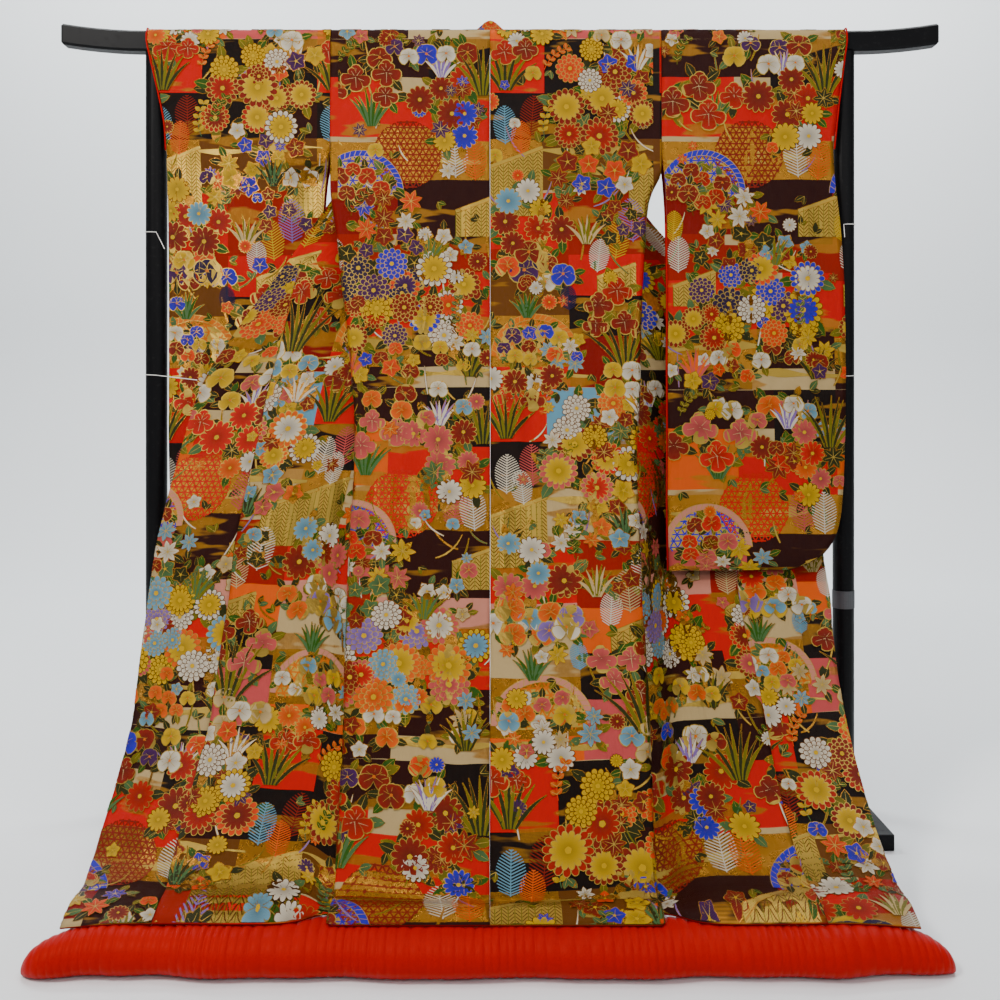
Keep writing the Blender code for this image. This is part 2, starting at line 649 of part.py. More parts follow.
def hem_line(place):
    """The roll's axis from the left tip (0) to the right tip (1), as x and depth, with its taper."""
    x = lerp(-0.6655, 0.6355, place)
    level = LEVELS[LAST_ROW]
    reach = abs(x) / 0.65
    depth = level.y_centre + HEM_ROLL_BACK + 0.010 * reach ** 2 - 0.012 * smoothstep((reach - 0.85) / 0.15)
    depth += 0.003 * math.sin(23.0 * x + 0.7) + 0.0015 * math.sin(51.0 * x)
    from_tip = min(x + 0.6655, 0.6355 - x)
    taper = HEM_ROLL_TIP / HEM_ROLL_DEPTH + (1.0 - HEM_ROLL_TIP / HEM_ROLL_DEPTH) * math.sqrt(
        max(0.0, 1.0 - (1.0 - min(from_tip / HEM_ROLL_TAPER, 1.0)) ** 2)
    )
    return x, depth, taper


def build_hem_roll(collection):
    stations = 44
    mesh = bpy.data.meshes.new("hem_roll")
    roll = bmesh.new()
    bmesh.ops.create_cone(roll, cap_ends=True, segments=12, radius1=1.0, radius2=1.0, depth=1.0)
    for step in range(1, stations):
        geometry = roll.verts[:] + roll.edges[:] + roll.faces[:]
        cut = Vector((0.0, 0.0, step / stations - 0.5))
        bmesh.ops.bisect_plane(roll, geom=geometry, dist=1e-6, plane_co=cut, plane_no=(0.0, 0.0, 1.0))
    for vert in roll.verts:
        place = vert.co.z + 0.5
        x, depth, taper = hem_line(place)
        height = HEM_ROLL_HEIGHT * taper
        axis = HEM_ROLL_AXIS * taper
        y = depth + HEM_ROLL_DEPTH * taper * vert.co.x
        vert.co = shift(Vector((x, y, max(0.0, axis + height * vert.co.y))))
    bmesh.ops.recalc_face_normals(roll, faces=roll.faces)
    for face in roll.faces:
        face.smooth = True
    roll.to_mesh(mesh)
    roll.free()
    add_object("hem_roll", mesh, collection, LINING_RED)


def build_rack(collection):
    mesh = bpy.data.meshes.new("rack_bar")
    bar = bmesh.new()
    bmesh.ops.create_cube(bar, size=1.0)
    bmesh.ops.scale(bar, vec=(BAR_LENGTH, BAR_DEPTH, BAR_HEIGHT), verts=bar.verts)
    level_half = BAR_LENGTH / 2 - BAR_RISE_RUN
    for step in range(5):
        for side in (-1, 1):
            cut = Vector((side * (level_half + BAR_RISE_RUN * step / 5), 0.0, 0.0))
            geometry = bar.verts[:] + bar.edges[:] + bar.faces[:]
            bmesh.ops.bisect_plane(bar, geom=geometry, dist=1e-6, plane_co=cut, plane_no=(1.0, 0.0, 0.0))
    for vert in bar.verts:
        rise = max(0.0, abs(vert.co.x) - level_half) / BAR_RISE_RUN
        vert.co.z += BAR_RISE * rise * rise
    bar.to_mesh(mesh)
    bar.free()
    obj = add_object("rack_bar", mesh, collection, LACQUER)
    obj.location = shift(Vector((0.0, 0.0, BAR_TOP - BAR_HEIGHT / 2)))
    edges = obj.modifiers.new("edges", "BEVEL")
    edges.width = BAR_CHAMFER
    edges.segments = 1
    edges.limit_method = "ANGLE"
    post_bottom = FOOT_HEIGHT + TOUCH
    post_top = BAR_TOP - BAR_HEIGHT - TOUCH
    for side, name in ((-1, "left"), (1, "right")):
        box("rack_foot_" + name, (side * POST_X, 0.0, FOOT_HEIGHT / 2),
            (FOOT_WIDTH, FOOT_LENGTH, FOOT_HEIGHT), collection, LACQUER, 0.002)
        mesh = bpy.data.meshes.new("rack_post_" + name)
        post = bmesh.new()
        bmesh.ops.create_cone(
            post, cap_ends=True, segments=28, depth=post_top - post_bottom,
            radius1=POST_RADIUS, radius2=POST_RADIUS,
        )
        for face in post.faces:
            face.smooth = len(face.verts) == 4
        post.to_mesh(mesh)
        post.free()
        obj = add_object("rack_post_" + name, mesh, collection, LACQUER)
        obj.location = shift(Vector((side * POST_X, 0.0, 0.5 * (post_top + post_bottom))))
    rail_half = POST_X - POST_RADIUS - TOUCH
    box("rack_rail", (0.0, 0.0, RAIL_Z), (2.0 * rail_half, RAIL_DEPTH, RAIL_HEIGHT),
        collection, LACQUER, 0.002)

    def band(around, down):
        angle = 2.0 * math.pi * around
        reach = POST_RADIUS + TOUCH + TAPE_THICKNESS / 2
        return Vector((POST_X + reach * math.cos(angle), reach * math.sin(angle),
                       TAPE_Z + TAPE_HEIGHT * (0.5 - down)))

    tape = cloth("rack_tape", band, steps(0.0, 1.0, 28), [0.0, 1.0], collection, TAPE_GREY, TAPE_THICKNESS)
    weld = tape.modifiers.new("join", "WELD")
    weld.merge_threshold = 0.00005
    tape.modifiers.move(1, 0)


def build_ties(collection):
    reach = POST_RADIUS + THREAD_RADIUS + THREAD_SLACK
    for tie in TIES:
        points = [Vector((tie.side * tie.x, tie.y, tie.z))]
        for step in range(14):
            angle = math.radians(-105.0 + 260.0 * step / 13)
            points.append(Vector((
                tie.side * (POST_X + reach * math.cos(angle)),
                reach * math.sin(angle),
                tie.z_post + 0.0004 * step,
            )))
        tube(tie.name, points, THREAD_RADIUS, False, collection, THREAD_WHITE)


def build():
    clear_scene()
    collection = new_collection("uchikake_on_rack")
    build_rack(collection)
    build_back(collection)
    build_fronts(collection)
    build_neck(collection)
    build_sleeves(collection)
    build_sleeve_edges(collection)
    build_hem_roll(collection)
    build_ties(collection)


build()
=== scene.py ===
"""Dressed scene of an uchikake wedding kimono hung back outwards on a lacquered kimono rack.

The robe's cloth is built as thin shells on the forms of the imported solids, with soft creases, and
its woven figures lie on those shells as low relief. All sizes are in metres, +Z is up and the
viewer stands on the -Y side. Depths in the tables are measured from the rack's plane.
"""

import logging
import math
import random
from dataclasses import dataclass
from enum import Enum
from typing import Callable, Iterable, NamedTuple, Sequence, Union

import bmesh
import bpy
import numpy as np
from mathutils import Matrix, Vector


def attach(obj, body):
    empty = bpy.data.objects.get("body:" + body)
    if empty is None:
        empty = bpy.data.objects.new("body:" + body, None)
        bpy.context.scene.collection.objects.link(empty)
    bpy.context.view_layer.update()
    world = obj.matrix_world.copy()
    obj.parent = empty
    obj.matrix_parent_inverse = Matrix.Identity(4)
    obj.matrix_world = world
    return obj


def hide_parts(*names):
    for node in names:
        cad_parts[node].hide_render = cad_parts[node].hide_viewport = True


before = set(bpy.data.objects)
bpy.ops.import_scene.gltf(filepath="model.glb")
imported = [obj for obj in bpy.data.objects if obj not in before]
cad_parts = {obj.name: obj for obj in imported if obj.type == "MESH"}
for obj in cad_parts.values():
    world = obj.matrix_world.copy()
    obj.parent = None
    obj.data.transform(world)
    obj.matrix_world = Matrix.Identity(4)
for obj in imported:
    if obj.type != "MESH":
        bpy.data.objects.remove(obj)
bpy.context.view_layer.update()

LOG = logging.getLogger("robe_scene")

RACK_Y = 0.2280
WALL = 0.0024
SHELL_HALF = 0.0011
SEAM = 0.0004
TOUCH = 0.0003
BAR_TOP = 1.518
BAR_HEIGHT = 0.040
BACK_CENTRE_TOP = -0.0195
BACK_CENTRE_HEM = -0.0140
FOLD_RADIUS = 0.009
COLLAR_WIDTH = 0.055
COLLAR_LAY = WALL + 0.0014
COLLAR_END_ROW = 8.0
OKUMI_TOP_ROW = 4.0
WING_LEAD = 0.070
ARMHOLE_ROW = 2.0
SEAM_TOP_ROW = 3.0
SEAM_TOP_GAP = 0.006
WRIST_ROW = 4
REAR_OUTER_LIMIT = 0.6440
EDGE_ROLL = 0.0016
EDGE_ROLL_LIFT = 1.07

DYE_DEPTH = 0.62
DYE_POWER = 1.45
DYE_RICHNESS = 1.42
CLOTH_WIDTH = 0.328
REPEAT = 0.680
ROW_STEP = 0.0115
FIGURE_LIFT = 0.00055
FIGURE_STEP = 0.00018
LONGEST = 0.008

Point = tuple[float, float]
Colour = tuple[float, float, float, float]


class Level(NamedTuple):
    """One level of the hanging body: see the body's table."""

    z: float
    y_centre: float
    y_fold: float
    lay_back: float
    lay_wing: float
    sink: float


LEVELS: tuple[Level, ...] = (
    Level(1.4950, -0.0225, -0.0225, 0.0420, 0.016, 0.0000),
    Level(1.4000, -0.0240, -0.0240, 0.0440, 0.016, 0.0000),
    Level(1.2840, -0.0270, -0.0270, 0.0370, 0.016, 0.0000),
    Level(1.1740, -0.0320, -0.0300, 0.0220, 0.016, 0.0000),
    Level(1.0600, -0.0450, -0.0420, 0.0180, 0.016, 0.0000),
    Level(0.9400, -0.0630, -0.0580, 0.0180, 0.016, 0.0000),
    Level(0.8200, -0.0920, -0.0850, 0.0180, 0.016, 0.0000),
    Level(0.7100, -0.1270, -0.1180, 0.0180, 0.016, 0.0000),
    Level(0.6000, -0.1700, -0.1600, 0.0180, 0.016, 0.0000),
    Level(0.5100, -0.2220, -0.2080, 0.0180, 0.016, 0.0000),
    Level(0.4400, -0.2650, -0.2480, 0.0180, 0.016, 0.0000),
    Level(0.3700, -0.3120, -0.2920, 0.0180, 0.016, 0.0000),
    Level(0.3000, -0.3600, -0.3380, 0.0180, 0.016, 0.0000),
    Level(0.2350, -0.4120, -0.3850, 0.0180, 0.016, 0.0010),
    Level(0.1700, -0.4680, -0.4350, 0.0160, 0.015, 0.0040),
    Level(0.1150, -0.5150, -0.4830, 0.0120, 0.012, 0.0070),
    Level(0.0840, -0.5400, -0.5150, 0.0060, 0.006, 0.0070),
    Level(0.0730, -0.5560, -0.5450, 0.0010, 0.001, 0.0056),
    Level(0.0755, -0.5760, -0.5720, 0.0010, 0.001, 0.0056),
    Level(0.0650, -0.6120, -0.6120, 0.0180, 0.016, 0.0002),
)
LAST_ROW = len(LEVELS) - 1


class Side(NamedTuple):
    """Where the body's layers lie across one side at a level."""

    fold: float
    turn: float
    edge: float
    okumi: float
    y_in: float
    y_okumi: float
    y_edge: float
    edge_drop: float


LEFT: tuple[Side, ...] = (
    Side(0.350, 0.092, 0.158, 0.000, 0.036, 0.036, 0.036, 0.000),
    Side(0.350, 0.100, 0.198, 0.000, 0.037, 0.037, 0.037, 0.000),
    Side(0.345, 0.112, 0.266, 0.000, 0.026, 0.026, 0.026, 0.000),
    Side(0.324, 0.125, 0.340, 0.000, 0.004, -0.002, -0.006, 0.000),
    Side(0.306, 0.140, 0.415, 0.030, -0.022, -0.025, -0.027, 0.000),
    Side(0.290, 0.155, 0.500, 0.088, -0.036, -0.040, -0.043, 0.000),
    Side(0.277, 0.168, 0.572, 0.130, -0.046, -0.050, -0.052, 0.000),
    Side(0.270, 0.180, 0.605, 0.142, -0.062, -0.060, -0.058, 0.000),
    Side(0.269, 0.190, 0.632, 0.148, -0.087, -0.079, -0.070, 0.000),
    Side(0.268, 0.202, 0.647, 0.153, -0.122, -0.107, -0.088, 0.000),
    Side(0.265, 0.206, 0.650, 0.158, -0.165, -0.142, -0.112, 0.000),
    Side(0.261, 0.206, 0.648, 0.157, -0.215, -0.190, -0.150, 0.000),
    Side(0.257, 0.204, 0.643, 0.154, -0.265, -0.242, -0.198, 0.000),
    Side(0.253, 0.200, 0.637, 0.150, -0.320, -0.298, -0.250, 0.001),
    Side(0.250, 0.196, 0.639, 0.145, -0.375, -0.358, -0.310, 0.003),
    Side(0.247, 0.192, 0.642, 0.142, -0.428, -0.415, -0.372, 0.006),
    Side(0.245, 0.188, 0.640, 0.140, -0.470, -0.462, -0.425, 0.010),
    Side(0.243, 0.184, 0.630, 0.136, -0.515, -0.513, -0.488, 0.010),
    Side(0.243, 0.184, 0.626, 0.134, -0.555, -0.553, -0.545, 0.009),
    Side(0.243, 0.184, 0.619, 0.130, -0.607, -0.607, -0.604, 0.008),
)
RIGHT: tuple[Side, ...] = (
    Side(0.340, 0.053, 0.119, 0.000, 0.036, 0.036, 0.036, 0.000),
    Side(0.340, 0.062, 0.152, 0.000, 0.037, 0.037, 0.037, 0.000),
    Side(0.330, 0.082, 0.212, 0.000, 0.028, 0.028, 0.028, 0.000),
    Side(0.286, 0.098, 0.279, 0.000, 0.012, 0.014, 0.016, 0.000),
    Side(0.276, 0.116, 0.371, 0.030, 0.004, 0.008, 0.010, 0.000),
    Side(0.268, 0.136, 0.456, 0.080, -0.004, -0.002, 0.000, 0.000),
    Side(0.262, 0.156, 0.530, 0.122, -0.018, -0.014, -0.012, 0.000),
    Side(0.252, 0.172, 0.578, 0.140, -0.033, -0.029, -0.026, 0.000),
    Side(0.250, 0.186, 0.606, 0.152, -0.050, -0.045, -0.041, 0.000),
    Side(0.249, 0.194, 0.616, 0.164, -0.062, -0.057, -0.052, 0.000),
    Side(0.247, 0.196, 0.615, 0.172, -0.112, -0.106, -0.096, 0.000),
    Side(0.246, 0.196, 0.605, 0.162, -0.184, -0.172, -0.150, 0.000),
    Side(0.244, 0.194, 0.600, 0.150, -0.242, -0.228, -0.203, 0.000),
    Side(0.241, 0.192, 0.597, 0.144, -0.300, -0.285, -0.262, 0.001),
    Side(0.237, 0.188, 0.598, 0.143, -0.360, -0.348, -0.330, 0.003),
    Side(0.234, 0.184, 0.601, 0.143, -0.420, -0.412, -0.396, 0.006),
    Side(0.232, 0.182, 0.604, 0.144, -0.466, -0.462, -0.448, 0.010),
    Side(0.231, 0.180, 0.601, 0.140, -0.515, -0.513, -0.498, 0.010),
    Side(0.231, 0.180, 0.598, 0.136, -0.555, -0.553, -0.545, 0.009),
    Side(0.231, 0.180, 0.592, 0.132, -0.607, -0.607, -0.604, 0.008),
)
SIDES = {-1: LEFT, 1: RIGHT}
SIDE_NAMES = {-1: "left", 1: "right"}
ARMHOLE_X = {-1: 0.3280, 1: 0.3120}

OVER_BAR: tuple[Point, ...] = (
    (0.0195, 1.4955),
    (0.0182, 1.5060),
    (0.0176, 1.5160),
    (0.0120, 1.5200),
    (0.0000, 1.5203),
    (-0.0120, 1.5200),
    (-0.0176, 1.5160),
)


class Hang(NamedTuple):
    """One level of a hanging sleeve."""

    z: float
    inner: float
    outer: float
    y_inner: float
    y_outer: float
    gap_inner: float
    gap_outer: float


LEFT_SLEEVE: tuple[Hang, ...] = (
    Hang(1.4950, 0.3284, 0.6816, -0.0225, -0.0225, 0.0420, 0.0420),
    Hang(1.4600, 0.3284, 0.6740, -0.0232, -0.0236, 0.0430, 0.0450),
    Hang(1.4000, 0.3284, 0.6600, -0.0240, -0.0240, 0.0440, 0.0420),
    Hang(1.3400, 0.3284, 0.6480, -0.0255, -0.0235, 0.0410, 0.0280),
    Hang(1.2840, 0.3284, 0.6450, -0.0270, -0.0200, 0.0370, 0.0100),
    Hang(1.2200, 0.3400, 0.6450, -0.0040, -0.0140, 0.0260, 0.0034),
    Hang(1.1400, 0.3480, 0.6450, 0.0050, -0.0090, 0.0240, 0.0034),
    Hang(1.0000, 0.3620, 0.6450, 0.0060, -0.0060, 0.0230, 0.0034),
    Hang(0.8600, 0.3620, 0.6450, 0.0040, -0.0060, 0.0220, 0.0034),
    Hang(0.7400, 0.3620, 0.6450, 0.0000, -0.0070, 0.0200, 0.0034),
    Hang(0.6400, 0.3620, 0.6430, -0.0040, -0.0080, 0.0160, 0.0034),
    Hang(0.5800, 0.3620, 0.6370, -0.0070, -0.0090, 0.0120, 0.0034),
    Hang(0.5350, 0.3620, 0.6200, -0.0090, -0.0100, 0.0080, 0.0034),
    Hang(0.5020, 0.3630, 0.5900, -0.0110, -0.0110, 0.0050, 0.0034),
    Hang(0.4820, 0.3640, 0.5400, -0.0120, -0.0120, 0.0034, 0.0034),
)
RIGHT_SLEEVE: tuple[Hang, ...] = (
    Hang(1.4950, 0.3124, 0.6690, -0.0225, -0.0225, 0.0420, 0.0420),
    Hang(1.4600, 0.3124, 0.6640, -0.0232, -0.0240, 0.0430, 0.0450),
    Hang(1.4000, 0.3124, 0.6560, -0.0240, -0.0255, 0.0440, 0.0380),
    Hang(1.3400, 0.3124, 0.6490, -0.0255, -0.0265, 0.0410, 0.0220),
    Hang(1.2840, 0.3124, 0.6430, -0.0270, -0.0275, 0.0370, 0.0060),
    Hang(1.2200, 0.3180, 0.6460, -0.0290, -0.0290, 0.0330, 0.0034),
    Hang(1.1400, 0.3215, 0.6550, -0.0320, -0.0310, 0.0300, 0.0034),
    Hang(1.0000, 0.3220, 0.6618, -0.0420, -0.0370, 0.0290, 0.0034),
    Hang(0.8600, 0.3200, 0.6610, -0.0520, -0.0460, 0.0270, 0.0034),
    Hang(0.7400, 0.3190, 0.6570, -0.0620, -0.0550, 0.0240, 0.0034),
    Hang(0.6400, 0.3170, 0.6510, -0.0720, -0.0640, 0.0190, 0.0034),
    Hang(0.5800, 0.3160, 0.6440, -0.0790, -0.0700, 0.0140, 0.0034),
    Hang(0.5350, 0.3150, 0.6280, -0.0900, -0.0780, 0.0080, 0.0034),
    Hang(0.5020, 0.3145, 0.5960, -0.0985, -0.0850, 0.0050, 0.0034),
    Hang(0.4820, 0.3140, 0.5440, -0.1030, -0.0890, 0.0034, 0.0034),
)
SLEEVES = {-1: LEFT_SLEEVE, 1: RIGHT_SLEEVE}
LAST_SLEEVE_ROW = len(LEFT_SLEEVE) - 1


class Ridge(NamedTuple):
    """A soft fold that the solid carries: its place across, lean, rows, height and half width."""

    across: float
    lean: float
    top: float
    end: float
    height: float
    half: float


BACK_RIDGES: tuple[Ridge, ...] = (
    Ridge(0.14, 0.02, 3.0, 17.0, 0.0050, 0.020),
    Ridge(0.42, -0.06, 5.0, 17.0, -0.0045, 0.026),
    Ridge(0.66, 0.05, 2.0, 16.0, 0.0055, 0.022),
)
WING_RIDGES: tuple[Ridge, ...] = (
    Ridge(0.46, -0.10, 6.0, 17.0, 0.0050, 0.024),
    Ridge(0.66, 0.04, 9.0, 17.0, -0.0045, 0.022),
    Ridge(0.84, -0.03, 8.0, 16.5, 0.0040, 0.020),
)
SLEEVE_RIDGES: tuple[Ridge, ...] = (
    Ridge(0.22, 0.03, 1.0, 13.0, 0.0035, 0.022),
    Ridge(0.50, -0.05, 3.0, 13.5, -0.0040, 0.028),
    Ridge(0.78, 0.02, 2.0, 13.0, 0.0035, 0.020),
)


class Crease(NamedTuple):
    """A crease: where it runs on the cloth from top to end, how deep and how wide."""

    u_top: float
    u_end: float
    top: float
    end: float
    depth: float
    half: float
    wander: float


BACK_CREASES: tuple[Crease, ...] = (
    Crease(0.040, 0.052, 0.30, 1.40, 0.0037, 0.011, 0.006),
    Crease(0.098, 0.080, 0.16, 1.10, -0.0041, 0.014, 0.008),
    Crease(0.150, 0.168, 0.42, 1.52, 0.0046, 0.013, 0.007),
    Crease(0.205, 0.190, 0.22, 0.95, -0.0037, 0.010, 0.005),
    Crease(0.232, 0.246, 0.60, 1.60, 0.0041, 0.011, 0.006),
    Crease(0.276, 0.258, 0.12, 0.80, -0.0032, 0.010, 0.004),
)
WING_CREASES: tuple[Crease, ...] = (
    Crease(0.030, 0.060, 0.55, 1.45, 0.0035, 0.013, 0.008),
    Crease(0.085, 0.110, 0.46, 1.30, -0.0038, 0.015, 0.009),
    Crease(0.150, 0.140, 0.40, 1.50, 0.0032, 0.012, 0.006),
    Crease(0.205, 0.230, 0.70, 1.52, -0.0029, 0.013, 0.007),
    Crease(0.262, 0.250, 0.50, 1.20, 0.0026, 0.011, 0.005),
)
SLEEVE_CREASES: tuple[Crease, ...] = (
    Crease(0.060, 0.050, 0.10, 0.86, 0.0022, 0.012, 0.006),
    Crease(0.118, 0.140, 0.22, 0.95, -0.0025, 0.013, 0.008),
    Crease(0.196, 0.180, 0.08, 0.80, 0.0025, 0.013, 0.006),
    Crease(0.250, 0.262, 0.30, 0.90, -0.0020, 0.011, 0.005),
)


def lerp(a: float, b: float, t: float) -> float:
    """The value a share t of the way from a to b."""
    return a + (b - a) * t


def srgb(red: float, green: float, blue: float, metal: float = 0.0) -> Colour:
    """A thread's linear colour from screen values of 0 to 255, deepened as dyed silk is.

    Args:
        red, green, blue: Screen colour values.
        metal: 0 for silk, 1 for metal thread.

    Returns:
        The linear colour, with metal as its fourth value.
    """

    def linear(value: float) -> float:
        part = value / 255.0
        flat = part / 12.92 if part <= 0.04045 else ((part + 0.055) / 1.055) ** 2.4
        return flat**DYE_POWER

    flat = [linear(value) for value in (red, green, blue)]
    grey = 0.2126 * flat[0] + 0.7152 * flat[1] + 0.0722 * flat[2]
    richness = lerp(DYE_RICHNESS, 0.92, min(metal, 1.0))
    rich = [max(0.0, DYE_DEPTH * (grey + richness * (value - grey))) for value in flat]
    return rich[0], rich[1], rich[2], metal


class Silk(Enum):
    """The colours of the woven threads."""

    VERMILION = srgb(214, 62, 36)
    SCARLET = srgb(190, 16, 26)
    CRIMSON = srgb(156, 10, 34)
    MAROON = srgb(70, 18, 22)
    BLACK = srgb(22, 16, 20)
    ROYAL = srgb(34, 66, 196)
    NAVY = srgb(28, 34, 96)
    PURPLE = srgb(92, 40, 116)
    LILAC = srgb(164, 146, 192)
    SKY = srgb(158, 190, 204)
    YELLOW = srgb(226, 200, 62)
    AMBER = srgb(226, 156, 26)
    ORANGE = srgb(232, 126, 66)
    SALMON = srgb(232, 146, 112)
    TERRACOTTA = srgb(176, 84, 44)
    PINK = srgb(212, 134, 134)
    BLUSH = srgb(222, 178, 166)
    WHITE = srgb(238, 232, 220)
    CREAM = srgb(218, 202, 174)
    GREEN = srgb(70, 122, 56)
    DEEP_GREEN = srgb(22, 72, 40)
    SAGE = srgb(116, 146, 116)
    OLIVE = srgb(150, 146, 60)
    GOLD = srgb(208, 160, 66, 0.9)
    PALE_GOLD = srgb(218, 192, 116, 0.75)
    DARK_GOLD = srgb(146, 100, 36, 0.85)


class Tone(Enum):
    """The weave's two colourings, which follow each other down the cloth."""

    JEWEL = 0
    PASTEL = 1


REDS = ((Silk.CRIMSON, Silk.SCARLET, Silk.CRIMSON), (Silk.PINK, Silk.VERMILION, Silk.CRIMSON))
BLUES = ((Silk.ROYAL, Silk.PURPLE, Silk.NAVY), (Silk.SKY, Silk.LILAC, Silk.WHITE))
WARMS = ((Silk.ORANGE, Silk.CRIMSON, Silk.YELLOW, Silk.WHITE), (Silk.SALMON, Silk.WHITE, Silk.YELLOW))
LIGHTS = ((Silk.WHITE, Silk.SKY, Silk.YELLOW), (Silk.WHITE, Silk.CREAM, Silk.SKY))
MIXED = (
    (Silk.CRIMSON, Silk.YELLOW, Silk.ROYAL, Silk.WHITE, Silk.ORANGE, Silk.PURPLE),
    (Silk.PINK, Silk.WHITE, Silk.SALMON, Silk.YELLOW, Silk.SKY, Silk.CRIMSON),
)
DEEPS = ((Silk.DEEP_GREEN, Silk.CRIMSON, Silk.PURPLE), (Silk.DEEP_GREEN, Silk.SAGE, Silk.CRIMSON))
Range = tuple[tuple[Silk, ...], tuple[Silk, ...]]
JEWEL_GROUNDS = {
    Silk.CREAM: Silk.DARK_GOLD,
    Silk.PINK: Silk.CRIMSON,
    Silk.SKY: Silk.BLACK,
    Silk.BLUSH: Silk.TERRACOTTA,
    Silk.SALMON: Silk.VERMILION,
}


def smoothstep(t: float) -> float:
    """A smooth rise from 0 to 1 as t goes from 0 to 1."""
    t = min(max(t, 0.0), 1.0)
    return t * t * (3.0 - 2.0 * t)


def spline(a: float, b: float, c: float, d: float, t: float) -> float:
    """Catmull-Rom value between b and c."""
    return 0.5 * (
        2.0 * b
        + (c - a) * t
        + (2.0 * a - 5.0 * b + 4.0 * c - d) * t * t
        + (3.0 * b - a - 3.0 * c + d) * t * t * t
    )


def steady(a: float, b: float, c: float, d: float, t: float) -> float:
    """A smooth value between b and c that never runs past either of them."""
    before, here, after = b - a, c - b, d - c
    start = 2.0 * before * here / (before + here) if before * here > 0.0 else 0.0
    end = 2.0 * here * after / (here + after) if here * after > 0.0 else 0.0
    rest = 1.0 - t
    return rest * rest * ((1.0 + 2.0 * t) * b + t * start) + t * t * ((1.0 + 2.0 * rest) * c - rest * end)


def table_row(table: Sequence, row: float):
    """The table's columns at a row number that may lie between two rows."""
    last = len(table) - 1
    row = min(max(row, 0.0), float(last))
    index = min(int(row), last - 1)
    picks = [table[min(max(index + step, 0), last)] for step in (-1, 0, 1, 2)]
    values = (steady(a, b, c, d, row - index) for a, b, c, d in zip(*picks))
    return type(table[0])(*values)


def path_length(points: Sequence[Vector]) -> float:
    """The length of a polyline."""
    return sum((b - a).length for a, b in zip(points, points[1:]))


def path_point(points: Sequence[Vector], distance: float) -> Vector:
    """The point that lies a distance along a polyline."""
    for start, end in zip(points, points[1:]):
        length = (end - start).length
        if distance <= length:
            return start.lerp(end, distance / length)
        distance -= length
    return points[-1].copy()


def smooth_path(keys: Sequence[Vector], steps: int) -> list[Vector]:
    """A polyline through the key points, with this many steps in each span."""
    ends = [keys[0], *keys, keys[-1]]
    points = []
    for a, b, c, d in zip(ends, ends[1:], ends[2:], ends[3:]):
        points += [Vector(spline(*axis, step / steps) for axis in zip(a, b, c, d)) for step in range(steps)]
    return points + [Vector(keys[-1])]


def steps(first: float, last: float, count: int) -> list[float]:
    """Evenly spaced values from first to last."""
    return [lerp(first, last, step / count) for step in range(count + 1)]


def ridge_height(ridges: Sequence[Ridge], across: float, row: float, width: float) -> float:
    """The solid's soft folds at a place across a panel of this width."""
    height = 0.0
    for ridge in ridges:
        along = (row - ridge.top) / (ridge.end - ridge.top)
        if 0.0 < along < 1.0:
            centre = ridge.across + ridge.lean * along
            offset = (across - centre) * width / ridge.half
            height += ridge.height * math.sin(math.pi * along) * math.exp(-offset * offset)
    return height


